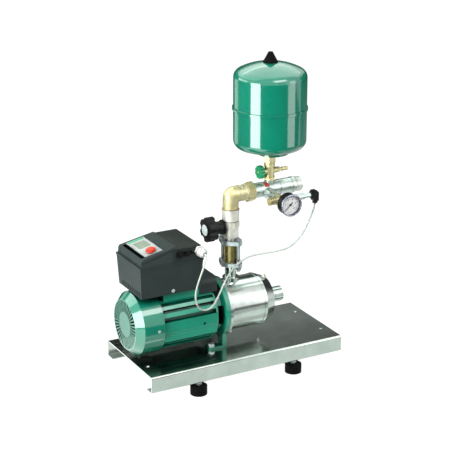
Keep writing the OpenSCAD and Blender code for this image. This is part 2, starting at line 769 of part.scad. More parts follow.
// nozzle with long flutes between its ribs
module suction_nozzle() {
    color([0.75, 0.74, 0.7]) on_axis() difference() {
        union() {
            bar_x(suction_bore_r + 2, neck_x, nozzle_x + 1);
            bar_x(suction_r + 1.5, nozzle_x, nozzle_x + 6);
            bar_x(suction_r, nozzle_x, nozzle_x + suction_l);
        }
        bar_x(suction_bore_r, neck_x - 1, nozzle_x + suction_l + 1);
        for (i = [0 : 9]) rotate([36 * i, 0, 0]) translate([nozzle_x + 8, -1.6, suction_r - 3.2])
            cube([suction_l - 10, 3.2, 5]);
    }
}
module casing_plugs() {
    color([0.7, 0.68, 0.6]) at_plugs() {
        bar_z(5, -5, 3);
        bar_z(7, 2, 4);
        hex_z(11, 4, 9);
    }
}
module discharge_flange() {
    color([0.55, 0.62, 0.64]) on_riser() difference() {
        oval_plate(lower_flange_z, stub_top);
        bar_z(stub_r + fit_gap, lower_flange_z - 1, stub_top + 1);
        at_oval_bolts() bar_z(oval_bolt_d / 2 + fit_gap, lower_flange_z - 1, stub_top + 1);
    }
}
seat_t = 5;
disc_t = 3;
disc_r = check_r - 6;
guide_t = 5;
guide_z = upper_flange_z - guide_t;
guide_r = 3;
module check_valve_body() {
    color([0.6, 0.55, 0.32]) on_riser() {
        difference() {
            union() {
                bar_z(check_r, check_z, upper_flange_z);
                bar_z(check_r + 1, check_z, check_z + 6);
                bar_z(check_r + 1, upper_flange_z - 6, upper_flange_z);
            }
            bar_z(riser_bore_r - 2, check_z - 1, upper_flange_z + 1);
            bar_z(check_r - 3.5, check_z + seat_t, guide_z);
            for (a = [0, 120, 240]) rotate(a) translate([(check_r + guide_r) / 2, 0, 0])
                bar_z((check_r - guide_r) / 2 - 4, guide_z - 1, upper_flange_z + 1);
        }
        difference() {
            bar_z(riser_bore_r - 1, guide_z, upper_flange_z);
            bar_z(guide_r + run_gap, guide_z - 1, upper_flange_z + 1);
            for (a = [0, 120, 240]) rotate(a) translate([(check_r + guide_r) / 2, 0, 0])
                bar_z((check_r - guide_r) / 2 - 4, guide_z - 1, upper_flange_z + 1);
        }
    }
}
module check_disc() {
    color([0.3, 0.3, 0.3]) on_riser() {
        bar_z(disc_r, check_z + seat_t, check_z + seat_t + disc_t);
        bar_z(guide_r, check_z + seat_t, upper_flange_z + 1);
    }
}
spring_r = guide_r + 2.6;
spring_wire = 0.7;
spring_turns = 5;
spring_z0 = check_z + seat_t + disc_t + spring_wire + 0.1;
spring_z1 = guide_z - spring_wire - 0.1;
module check_spring() {
    pts = [for (k = [0 : 60]) [spring_r * cos(6 * spring_turns * k), spring_r * sin(6 * spring_turns * k),
        spring_z0 + (spring_z1 - spring_z0) * k / 60]];
    color([0.7, 0.7, 0.7]) on_riser()
        polyhedron(tube_points(pts, spring_wire, 6), tube_faces(len(pts), 6), convexity = 8);
}
module valve_flange() {
    color([0.55, 0.62, 0.64]) on_riser() difference() {
        oval_plate(upper_flange_z, valve_z);
        bar_z(riser_bore_r, upper_flange_z - 1, valve_z + 1);
        bar_z(riser_bore_r + 4 + fit_gap, valve_z - 6, valve_z + 1);
        at_oval_bolts() bar_z(oval_bolt_d / 2 + fit_gap, upper_flange_z - 1, valve_z + 1);
    }
}
// two long bolts hold both oval flanges, with nuts below
module flange_bolts() {
    color([0.75, 0.76, 0.74]) on_riser() at_oval_bolts() {
        bar_z(oval_bolt_d / 2, lower_flange_z - 14, valve_z + 1);
        hex_z(oval_bolt_d * 1.6, valve_z, valve_z + 6.4);
        hex_z(oval_bolt_d * 1.6, lower_flange_z - 8, lower_flange_z);
    }
}
module stop_valve_body() {
    color([0.82, 0.81, 0.76]) on_riser() difference() {
        union() {
            bar_z(riser_bore_r + 4, valve_z - 6, valve_z + 1);
            bar_z(check_r - 1, valve_z, valve_z + 9);
            bar_z(valve_r, valve_z + 9, socket_z - waist_h);
            bar_z(valve_r - 2, valve_z + 9, socket_z + 1);
            rotate(30) hex_z(2 * valve_r - 1.5, socket_z - 20, socket_z - waist_h);
            bar_z(socket_r, socket_z, socket_top);
            bar_z(socket_r + 1, socket_top - 7, socket_top);
            translate([0, 0, ball_z]) bar_x(bonnet_r, -bonnet_l, 0);
        }
        bar_z(riser_bore_r, valve_z - 7, socket_top);
        bar_z(pipe_r - 0.7 + fit_gap, socket_top - spigot, socket_top + 1);
        translate([0, 0, ball_z]) {
            sphere(ball_r + 0.5);
            bar_x(stem_r + run_gap, -bonnet_l - 1, 0);
        }
        for (i = [0 : 7]) rotate(45 * i + 22.5) translate([check_r - 4, -3, valve_z - 1]) cube([10, 6, 7]);
    }
}
module valve_ball() {
    color([0.75, 0.75, 0.75]) on_riser() translate([0, 0, ball_z]) difference() {
        union() {
            sphere(ball_r);
            bar_x(stem_r, -knob_reach + 8, -ball_r + 3);
        }
        bar_z(riser_bore_r, -ball_r - 1, ball_r + 1);
    }
}
// star knob: a sleeve over the bonnet and a head with six lobes
module star_knob() {
    color([0.1, 0.1, 0.1]) translate([0, 0, ball_z]) difference() {
        union() {
            along_x(star_x, star_x + star_t) difference() {
                circle(star_r);
                for (i = [0 : 5]) rotate(60 * i) translate([star_r + 4, 0]) circle(11);
            }
            bar_x(cap_face_r + 5, knob_x + 1, star_x + 1);
            bar_x(sleeve_r, star_x, riser_x - valve_r - 2 * clear);
            bar_x(sleeve_r + 3, riser_x - valve_r - 2 * clear - 4, riser_x - valve_r - 2 * clear);
        }
        bar_x(bonnet_r + clear, riser_x - bonnet_l - clear, riser_x);
        bar_x(stem_r + fit_gap, knob_x + 5, riser_x);
        bar_x(cap_face_r + fit_gap, knob_x, knob_x + 3);
    }
}
module knob_cap() {
    color([0.85, 0.88, 0.87]) translate([0, 0, ball_z]) bar_x(cap_face_r, knob_x, knob_x + 3);
}
// quarter bend of radius r between the elbow's two legs
module bend(r) {
    translate([collar_x, 0, pipe_z - bend_r]) rotate([90, 0, 0]) rotate([0, 0, 90])
        rotate_extrude(angle = 90) intersection() {
            translate([bend_r, 0]) circle(r);
            translate([0, -2 * r]) square([bend_r + 2 * r, 4 * r]);
        }
}
module elbow() {
    color([0.85, 0.8, 0.6]) difference() {
        union() {
            on_riser() {
                bar_z(pipe_r - 0.7, socket_top - spigot, socket_top + 1);
                bar_z(elbow_r, socket_top, pipe_z - bend_r);
            }
            bend(elbow_r);
            translate([0, 0, pipe_z]) {
                bar_x(elbow_r, collar_x, nut_x);
                bar_x(elbow_r + 0.8, collar_x + 13, collar_x + 20);
                bar_x(elbow_r + 0.6, collar_x + 23, nut_x - 8);
                bar_x(elbow_r + 1.8, nut_x - 6, nut_x);
            }
        }
        on_riser() bar_z(riser_bore_r, socket_top - spigot - 1, pipe_z - bend_r);
        bend(riser_bore_r);
        translate([0, 0, pipe_z]) bar_x(riser_bore_r, collar_x, nut_x + 1);
    }
}
module union_nut() {
    color([0.85, 0.8, 0.6]) translate([0, 0, pipe_z]) difference() {
        union() {
            hex_x(nut_af, nut_x, nut_x + nut_l - 3);
            bar_x(nut_af / 2 - 0.5, nut_x, nut_x + nut_l);
        }
        bar_x(pipe_r + fit_gap, nut_x - 1, nut_x + nut_l + 1);
    }
}
module manifold_pipe() {
    color([0.75, 0.78, 0.77]) difference() {
        union() {
            translate([0, 0, pipe_z]) {
                bar_x(pipe_r, nut_x, outlet_x - thread_l);
                bar_x(pipe_r - 0.4, nut_x, outlet_x);
                bar_x(pipe_r + 1.2, vessel_x + 28, outlet_x - thread_l);
                bar_x(pipe_r + 2.2, outlet_x - thread_l - 9, outlet_x - thread_l);
            }
            translate([vessel_x, 0, 0]) bar_z(top_boss_r, pipe_z, top_boss_z);
            translate([tee_x, 0, tee_z]) {
                bar_y(boss_r, boss_end, -pipe_in_r * 0.6);
                rotate([90, 0, 0]) translate([0, 0, pipe_in_r]) cylinder(r1 = boss_r + 4, r2 = boss_r, h = 22);
            }
        }
        translate([0, 0, pipe_z]) bar_x(pipe_in_r, nut_x - 1, outlet_x + 1);
        translate([vessel_x, 0, 0]) bar_z(flow_bore_r, pipe_z, top_boss_z + 1);
        translate([tee_x, 0, tee_z]) bar_y(tee_r - 3 + fit_gap, boss_end - 1, 0);
    }
}
module vessel_valve_body() {
    color([0.75, 0.66, 0.35]) translate([vessel_x, 0, 0]) difference() {
        union() {
            bar_z(flow_bore_r + 3, top_boss_z, flow_top + 9);
            hex_z(30, top_boss_z, top_boss_z + 9);
            bar_z(13.5, top_boss_z, flow_top - 14);
            bar_z(15.5, flow_top - 18, flow_top);
            difference() {
                hex_z(34, flow_top - 3, flow_top + neck_nut_h);
                bar_z(stub_pipe_r + fit_gap, flow_top, flow_top + neck_nut_h + 1);
            }
            bar_z(flow_bore_r + 3, flow_top - 1, flow_top + 9);
            translate([0, 0, flow_mid]) {
                bar_x(9.5, -22, 0);
                bar_x(8.5, 0, 22);
            }
        }
        bar_z(flow_bore_r, top_boss_z - 1, flow_top + 10);
        translate([0, 0, flow_mid]) {
            bar_x(spindle_r + run_gap, -23, 0);
            bar_x(5 + fit_gap, 0, 23);
        }
    }
}
module vessel_valve_spindle() {
    color([0.8, 0.72, 0.4]) translate([vessel_x, 0, flow_mid]) {
        bar_x(spindle_r, -36 + 1, 0);
        cube([2, 2 * spindle_r - 2, 2 * spindle_r - 2], center = true);
    }
}
module vessel_valve_knob() {
    color([0.1, 0.5, 0.3]) translate([0, 0, flow_mid]) difference() {
        union() {
            along_x(flow_knob_x, flow_knob_x + flow_knob_t) difference() {
                circle(flow_knob_r);
                for (i = [0 : 7]) rotate(45 * i) translate([flow_knob_r + 3, 0]) circle(5);
            }
            bar_x(8, flow_knob_x, vessel_x - 22 - 0.3);
        }
        bar_x(spindle_r + fit_gap, flow_knob_x - 1, vessel_x);
    }
}
module drain_nipple() {
    color([0.75, 0.66, 0.35]) translate([vessel_x, 0, flow_mid]) difference() {
        union() {
            bar_x(5, 12, 59);
            hex_x(15, 22, 31);
            bar_x(6.2, 40, 44);
            bar_x(6.2, 52, 56);
        }
        bar_x(3, 11, 60);
    }
}
// half outline of a torispherical shell: a straight wall and a dished end
module dished(r, kr, cr, h) {
    straight = h - (cr - sqrt(pow(cr - kr, 2) - pow(r - kr, 2)));
    mid = straight - sqrt(pow(cr - kr, 2) - pow(r - kr, 2));
    far = 2 * cr;
    square([r, straight]);
    intersection() {
        translate([r - kr, straight]) circle(kr, $fn = 96);
        square([r + 1, h + 1]);
    }
    intersection() {
        translate([0, mid]) circle(cr, $fn = 128);
        polygon([[0, mid], [(r - kr) * far / (straight - mid), mid + far], [0, mid + far]]);
        square([r, h + 1]);
    }
}
module shell_outline(r, h, t) {
    difference() {
        dished(r, knuckle_r, crown_r, h);
        translate([0, -0.01]) dished(r - t, knuckle_r - t, crown_r - t, h - t + 0.01);
    }
}
// the lower shell as a solid, t inside its outer face
module lower_solid(t) {
    translate([0, 0, seam_z + t / 10]) mirror([0, 0, 1]) rotate_extrude($fn = 96)
        dished(vessel_r - t, knuckle_r - t, low_crown_r - t, lower_h - ring_h - t * 0.9);
}
module vessel_lower_shell() {
    color([0.08, 0.55, 0.44]) translate([vessel_x, 0, 0]) difference() {
        union() {
            lower_solid(0);
            translate([ring_dx, 0, 0]) difference() {
                bar_z(ring_r, ring_z, ring_top);
                bar_z(ring_r - 3, ring_z - 1, ring_top + 1);
            }
            bar_z(stub_pipe_r, flow_top, ring_z + ring_h + vessel_t);
        }
        lower_solid(vessel_t);
        bar_z(flow_bore_r, flow_top - 1, ring_z + ring_h + 20);
        bar_z(flow_bore_r + 3 + fit_gap, flow_top - 1, flow_top + 9);
    }
}
module vessel_upper_shell() {
    color([0.08, 0.55, 0.44]) translate([vessel_x, 0, 0]) difference() {
        union() {
            translate([0, 0, seam_z]) rotate_extrude($fn = 96) shell_outline(vessel_r, upper_h, vessel_t);
            translate([0, 0, seam_z - seam_h]) rotate_extrude($fn = 96) {
                translate([vessel_r + fit_gap, 0]) square([seam_out - fit_gap, seam_h + seam_up]);
                translate([vessel_r - vessel_t / 2, seam_h]) square([seam_out, seam_up]);
            }
        }
        bar_z(5 + fit_gap, crown_z - 20, crown_z + 5);
    }
}
module vessel_diaphragm() {
    r1 = vessel_r - vessel_t - fit_gap;
    color([0.1, 0.1, 0.1]) translate([vessel_x, 0, seam_z]) rotate_extrude($fn = 96)
        polygon([[0, 24], [r1 - 40, 24], [r1 - 2, -6], [r1, -6], [r1, 4], [r1 - 38, 26], [0, 26]]);
}
valve_tip = 16;
module air_valve() {
    color([0.75, 0.66, 0.35]) translate([vessel_x, 0, 0]) difference() {
        union() {
            bar_z(5, crown_z - vessel_t - 8, crown_z + valve_tip);
            bar_z(8, crown_z - vessel_t - 5, crown_z - vessel_t - 0.5);
        }
        bar_z(2.5, crown_z + 2, crown_z + valve_tip + 1);
    }
}
module vessel_cap() {
    color([0.06, 0.06, 0.06]) translate([vessel_x, 0, 0]) difference() {
        union() {
            translate([0, 0, crown_z - 3]) cylinder(r = cap_r, h = 5);
            translate([0, 0, crown_z + 2]) cylinder(r1 = cap_r - 1, r2 = 6, h = cap_h - 2);
        }
        translate([0, 0, crown_z - crown_r]) sphere(crown_r + 0.3, $fn = 96);
        bar_z(5 + 0.4, crown_z - 6, crown_z + valve_tip);
        bar_z(cap_r - 9, crown_z - 6, crown_z + 3);
    }
}
module gauge_block() {
    color([0.8, 0.74, 0.5]) translate([tee_x, tee_y, tee_z]) difference() {
        union() {
            bar_x(tee_r, -tee_half, tee_half);
            bar_y(tee_r - 3, 0, tee_r + 8 + 12);
            bar_y(tee_r - 1, 0, tee_r + 8);
            bar_y(tee_r - 1, -tee_r - 5, 0);
        }
        bar_x(5, -tee_half - 1, tee_half + 1);
        bar_y(4, 0, tee_r + 8 + 13);
        bar_y(6 + fit_gap, -tee_r - 6, 0);
    }
}
module test_plug() {
    color([0.8, 0.74, 0.5]) translate([0, tee_y, tee_z]) {
        bar_x(5 - fit_gap, plug_x - 1, plug_x + 8);
        bar_x(9, plug_x - 5, plug_x);
        for (i = [0 : 2]) bar_x(10.5, plug_x - 10 - 6 * i, plug_x - 6 - 6 * i);
        bar_x(8, plug_x - 24, plug_x);
    }
}
dial_y = gauge_face + 8;
lens_y = gauge_face + 1;
lens_t = 2;
module gauge_case() {
    color([0.1, 0.1, 0.11]) translate([tee_x, 0, tee_z]) difference() {
        union() {
            bar_y(gauge_r - 1, gauge_face + 6, gauge_back);
            bar_y(gauge_r, gauge_face, gauge_face + 8);
            bar_y(8, gauge_back - 1, tee_y - tee_r - 5);
            bar_y(6, gauge_back - 1, tee_y - tee_r + 3);
            rotate([90, 0, 0]) translate([0, 0, -(tee_y - tee_r - 5)])
                cylinder(r = 17 / sqrt(3), h = gauge_reach - tee_r - 5, $fn = 6);
        }
        bar_y(gauge_r - 3, gauge_face - 1, dial_y + 1);
        bar_y(gauge_r - 5, gauge_face + 1, gauge_back - 3);
        bar_y(2.5, dial_y - 1, tee_y);
    }
}
module gauge_dial() {
    color([0.95, 0.95, 0.93]) translate([tee_x, 0, tee_z]) difference() {
        bar_y(gauge_r - 3 - fit_gap, dial_y, dial_y + 1);
        bar_y(1 + run_gap, dial_y - 1, dial_y + 2);
    }
}
// pointer, at rest on zero at the lower left
module gauge_pointer() {
    color([0.05, 0.05, 0.05]) translate([tee_x, 0, tee_z]) {
        bar_y(1, dial_y - 3, dial_y + 9);
        bar_y(3.2, dial_y - 3, dial_y - 1);
        rotate([0, -135, 0]) translate([0, dial_y - 1.5, 0]) rotate([90, 0, 0]) linear_extrude(0.8)
            polygon([[-1.4, -9], [1.4, -9], [0.5, gauge_r - 9], [-0.5, gauge_r - 9]]);
    }
}
module gauge_lens() {
    color([0.85, 0.9, 0.92, 0.4]) translate([tee_x, 0, tee_z])
        bar_y(gauge_r - 3 - fit_gap, lens_y, lens_y + lens_t);
}
neck_len = 20;
module pressure_transmitter() {
    color([0.75, 0.76, 0.75]) translate([0, tee_y, tee_z]) {
        bar_x(5 - fit_gap, trans_x - 8, trans_x + 1);
        hex_x(20, trans_x, trans_x + 9);
        bar_x(9.5, trans_x + 9, conn_x - neck_len);
        bar_x(7, conn_x - neck_len, conn_x);
        bar_x(4, conn_x, conn_x + 6);
    }
}
module transmitter_connector() {
    color([0.08, 0.08, 0.08]) translate([0, tee_y, tee_z]) difference() {
        union() {
            bar_x(9, conn_x, conn_x + 10);
            along_y(-9, 9) polygon([[conn_x + 3, -9], [conn_x + 3, 9], [conn_x + 8, 13],
                [conn_x + 18, 13], [conn_x + 24, 6], [conn_x + 24, -18], [conn_x + 9, -18]]);
            translate([conn_x + 16.5, 0, 0]) bar_z(7.5, conn_z - tee_z, 0);
        }
        bar_x(4 + fit_gap, conn_x - 1, conn_x + 6);
    }
}
module sensor_cable() {
    p = route(cable_pts, 2);
    color([0.88, 0.9, 0.87])
        polyhedron(tube_points(p, cable_d / 2, 10), tube_faces(len(p), 10), convexity = 6);
}
module cable_gland() {
    color([0.92, 0.92, 0.9]) translate([gland_x, 0, gland_z]) difference() {
        union() {
            translate([0, gland_y, 0]) rotate([90, 0, 0]) cylinder(r = 27 / sqrt(3), h = 7, $fn = 6);
            bar_y(11, gland_y - 14, gland_y);
            translate([0, gland_y - 10, 0]) rotate([90, 0, 0]) cylinder(r = 25 / sqrt(3), h = 12, $fn = 6);
            translate([0, gland_y - 22, 0]) rotate([90, 0, 0]) cylinder(r1 = 11.5, r2 = 6, h = 10);
            bar_y(gland_hole_r, gland_y, gland_y + gland_in);
        }
        bar_y(cable_d / 2 + 0.3, gland_y - 33, gland_y + gland_in + 1);
    }
}
// terminal box behind the converter, rounded along its upper edges
adapter_round = 18;
module converter_adapter() {
    h = tub_z + adapter_up - adapter_z;
    color([0.16, 0.18, 0.18]) along_x(conv_end - seat_gap + clear, adapter_end)
        translate([-adapter_w, adapter_z]) intersection() {
            square([2 * adapter_w, h]);
            translate([adapter_w, h - adapter_w]) round_rect(2 * adapter_w, 2 * adapter_w, adapter_round);
        }
}
vent_n = 10;
vent_pitch = 12;
module converter_tub() {
    color([0.3, 0.36, 0.36]) difference() {
        union() {
            intersection() {
                along_x(conv_x, conv_end) polygon([[-conv_low_w, tub_z], [conv_low_w, tub_z],
                    [conv_w - 2, rim_z - rim_h], [-conv_w + 2, rim_z - rim_h]]);
                along_y(-conv_w, conv_w) polygon([[conv_x + 5, tub_z], [conv_end - 5, tub_z],
                    [conv_end - 1, rim_z - rim_h], [conv_x + 1, rim_z - rim_h]]);
            }
            translate([conv_x, 0, 0]) along_x(0, conv_l) translate([0, rim_z - rim_h / 2])
                square([2 * conv_w, rim_h], center = true);
        }
        for (i = [0 : vent_n - 1]) translate([conv_x - 1, -conv_low_w + 8 + vent_pitch * i, tub_z + 3])
            cube([16, 5, 15]);
    }
}
gland_hole_r = 7;
gland_in = 6;
blind_x = [gland_x - 61, gland_x - 37, gland_x - 24];
blind_r = [11, 9, 3.2];
groove_t = 2;
groove_in = 1.8;
// grooves along the cover's sides, under its upper edge
module cover_grooves() {
    z1 = rim_z + cover_h1 - lid_t;
    difference() {
        along_y(-conv_w, conv_w) polygon([[cover_x - 1, slope_z - 12], [cover_x + slope_l, z1 - groove_t],
            [lid_x - 1, z1 - groove_t], [lid_x - 1, z1], [cover_x + slope_l, z1],
            [cover_x - 1, slope_z - 12 + groove_t]]);
        along_x(cover_x - 2, lid_x) polygon([[-conv_w + 3 + groove_in, rim_z],
            [conv_w - 3 - groove_in, rim_z], [cover_w - groove_in, rim_z + cover_h1 + 1],
            [-cover_w + groove_in, rim_z + cover_h1 + 1]]);
    }
}
// upper housing: slope for the panel, flat plate for the glands, step for the lid
module converter_cover() {
    z1 = rim_z + cover_h1;
    color([0.22, 0.26, 0.24]) difference() {
        union() {
            intersection() {
                along_y(-conv_w, conv_w) polygon([[cover_x, rim_z], [cover_x, slope_z - 6],
                    [cover_x + 4, slope_z], [cover_x + 4 + slope_l, z1], [lid_x, z1],
                    [lid_x, z1 - lid_t], [lid_end, z1 - lid_t - 4], [lid_end, rim_z]]);
                along_x(cover_x - 1, lid_end + 1) polygon([[-conv_w + 3, rim_z], [conv_w - 3, rim_z],
                    [cover_w, rim_z + cover_h1 + 1], [-cover_w, rim_z + cover_h1 + 1]]);
            }
            translate([blind_x[0] - 15, gland_y, rim_z]) cube([conv_end + 1 - blind_x[0] + 15, 20, plate_h]);
        }
        on_slope(recess_at) translate([0, -panel_w, -recess_t]) cube([recess_l, 2 * panel_w, 2 * recess_t]);
        cover_grooves();
        on_slope(button_at) translate([0, button_y, 0])
            bar_z(encoder_r + run_gap, -encoder_in - 2 * press, 1);
        translate([gland_x, 0, gland_z]) bar_y(gland_hole_r + fit_gap, gland_y - 1, gland_y + gland_in);
        for (i = [0 : 2]) translate([blind_x[i], 0, gland_z])
            bar_y(blind_r[i] - 2 + fit_gap, gland_y - 1, gland_y + gland_in);
    }
}
// lid over the terminals, crowned, with its edge drawn in at the sides
module terminal_cover() {
    z1 = rim_z + cover_h1;
    color([0.22, 0.26, 0.24]) intersection() {
        along_y(-conv_w, conv_w) polygon([[lid_x, z1 - lid_t], [lid_x, z1], [lid_x + 20, z1 + 2],
            [lid_end - 8, z1 - 2], [lid_end, z1 - 6], [lid_end, z1 - lid_t - 4]]);
        along_x(lid_x - 1, lid_end + 1) polygon([[-cover_w - 4, rim_z + plate_h],
            [cover_w + 4, rim_z + plate_h], [cover_w + 1, z1 - 4], [cover_w - 4, z1 - 1.5],
            [cover_w / 2, z1 + 1], [0, z1 + 2], [-cover_w / 2, z1 + 1], [-cover_w + 4, z1 - 1.5],
            [-cover_w - 1, z1 - 4]]);
    }
}
encoder_in = 8;
module on_slope(s) {
    translate([cover_x + 4, 0, slope_z]) rotate([0, -slope_a, 0]) translate([s, 0, 0]) children();
}
module display_panel() {
    color([0.7, 0.74, 0.72]) difference() {
        on_slope(panel_at) translate([0, -panel_w, 0]) cube([panel_l, 2 * panel_w, panel_t]);
        on_slope(button_at) translate([0, button_y, 0]) bar_z(encoder_r + run_gap, -1, panel_t + 1);
    }
}
module encoder_shaft() {
    color([0.6, 0.6, 0.6]) on_slope(button_at) translate([0, button_y, 0])
        bar_z(encoder_r, -encoder_in, button_top - 3);
}
button_low = panel_t + press + 0.5;
button_top = button_low + button_h;
// three broad lobes, for the finger and thumb
module lobes(r) {
    difference() {
        circle(r);
        for (a = [60, 180, 300]) rotate(a) translate([r * 1.88, 0]) circle(r);
    }
}
module red_knob() {
    color([0.9, 0.3, 0.2]) on_slope(button_at) translate([0, button_y, 0]) difference() {
        union() {
            translate([0, 0, button_low]) linear_extrude(button_h - 2) lobes(button_r);
            translate([0, 0, button_low]) linear_extrude(button_h) lobes(button_r - 2);
        }
        bar_z(encoder_r + run_gap, button_low - 1, button_top - 3);
    }
}
module blind_glands() {
    color([0.12, 0.13, 0.13]) for (i = [0 : 2]) translate([blind_x[i], 0, gland_z]) {
        bar_y(blind_r[i], gland_y - 5, gland_y);
        bar_y(blind_r[i] * 0.75, gland_y - 9, gland_y - 4);
        bar_y(blind_r[i] - 2, gland_y, gland_y + gland_in);
    }
}

base_plate();
foot_buffers();
foot_studs();
fan_cover();
cooling_fan();
motor_housing();
stator();
rotor_core();
pump_shaft();
shaft_bearings();
lantern();
pump_bolts();
casing_bolts();
pump_casing();
stage_casings();
impellers();
shaft_seal();
suction_cover();
suction_nozzle();
casing_plugs();
discharge_flange();
check_valve_body();
check_disc();
check_spring();
valve_flange();
flange_bolts();
stop_valve_body();
valve_ball();
star_knob();
knob_cap();
elbow();
union_nut();
manifold_pipe();
vessel_valve_body();
vessel_valve_spindle();
vessel_valve_knob();
drain_nipple();
vessel_lower_shell();
vessel_upper_shell();
vessel_diaphragm();
air_valve();
vessel_cap();
gauge_block();
test_plug();
gauge_case();
gauge_dial();
gauge_pointer();
gauge_lens();
pressure_transmitter();
transmitter_connector();
sensor_cable();
cable_gland();
converter_adapter();
converter_tub();
converter_cover();
terminal_cover();
display_panel();
encoder_shaft();
red_knob();
blind_glands();
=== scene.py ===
import json
import math
import bmesh
import bpy
from mathutils import Matrix, Vector


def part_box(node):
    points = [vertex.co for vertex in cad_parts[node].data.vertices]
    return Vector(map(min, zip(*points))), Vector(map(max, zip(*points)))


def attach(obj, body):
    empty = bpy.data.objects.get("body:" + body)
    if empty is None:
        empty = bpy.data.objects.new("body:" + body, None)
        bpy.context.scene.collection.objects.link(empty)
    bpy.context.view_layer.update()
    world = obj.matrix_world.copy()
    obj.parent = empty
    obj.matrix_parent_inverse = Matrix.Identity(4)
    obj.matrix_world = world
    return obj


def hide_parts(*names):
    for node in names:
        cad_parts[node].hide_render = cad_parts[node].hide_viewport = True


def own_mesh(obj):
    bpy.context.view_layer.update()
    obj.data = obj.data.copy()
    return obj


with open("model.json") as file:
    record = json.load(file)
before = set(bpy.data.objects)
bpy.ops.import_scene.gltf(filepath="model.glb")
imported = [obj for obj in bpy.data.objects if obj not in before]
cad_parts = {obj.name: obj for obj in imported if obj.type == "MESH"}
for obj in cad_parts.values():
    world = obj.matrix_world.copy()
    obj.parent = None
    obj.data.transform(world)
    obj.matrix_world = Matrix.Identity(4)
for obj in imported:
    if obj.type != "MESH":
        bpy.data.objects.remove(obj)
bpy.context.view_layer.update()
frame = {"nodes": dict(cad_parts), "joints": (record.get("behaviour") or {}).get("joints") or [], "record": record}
nodes = frame["nodes"]
joints = {joint["name"]: joint for joint in frame["joints"]}
MM = 0.001


def lowest(name):
    """A node's lowest corner at rest, in mm."""
    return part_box(name)[0] / MM


def highest(name):
    """A node's highest corner at rest, in mm."""
    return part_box(name)[1] / MM


def middle(name):
    """The middle of a node's box at rest, in mm."""
    return (lowest(name) + highest(name)) / 2


def pivot(name):
    """A place on a joint's axis, in mm."""
    return Vector(joints[name]["pos_m"]) / MM


# places that several pieces share, in mm
AXIS_Z = pivot("rotor_spin").z
RISER_X = pivot("stop_valve_turn").x
PIPE_Z = middle("union_nut").z
BOLT_RING = 30.0
BOLT_TURNS = (-70, 110)


def new_object(name, data):
    """A new object in the scene."""
    obj = bpy.data.objects.new(name, data)
    bpy.context.scene.collection.objects.link(obj)
    return obj


def aimed(at, toward):
    """The turn that points a camera or lamp from one place toward another."""
    return (Vector(toward) - Vector(at)).to_track_quat("-Z", "Y").to_euler()


# camera at the photograph's viewing angle
camera = new_object("camera", bpy.data.cameras.new("camera"))
camera.location = (-1.8381, -3.4151, 1.7871)
camera.rotation_euler = aimed(camera.location, (-0.0160, -0.0399, 0.4473))
camera.data.sensor_fit = "HORIZONTAL"
camera.data.sensor_width = 36
camera.data.lens = 116.9
camera.data.clip_end = 100
bpy.context.scene.camera = camera
bpy.context.scene.view_settings.view_transform = "Standard"


# materials
def srgb(red, green, blue):
    """A colour as it is seen on screen, 0 to 255, as the linear colour that a shader takes."""
    def linear(value):
        value /= 255
        return value / 12.92 if value <= 0.04045 else ((value + 0.055) / 1.055) ** 2.4
    return (linear(red), linear(green), linear(blue), 1)


def tint(color, factor):
    """A lighter or darker colour of the same hue."""
    return (*(min(1.0, part * factor) for part in color[:3]), 1)


def add_node(tree, kind, inputs=(), **settings):
    """A new shader node, where each input is a value or the socket that feeds it."""
    node = tree.nodes.new(kind)
    for key, value in settings.items():
        setattr(node, key, value)
    for key, value in dict(inputs).items():
        if isinstance(value, bpy.types.NodeSocket):
            tree.links.new(value, node.inputs[key])
        else:
            node.inputs[key].default_value = value
    return node


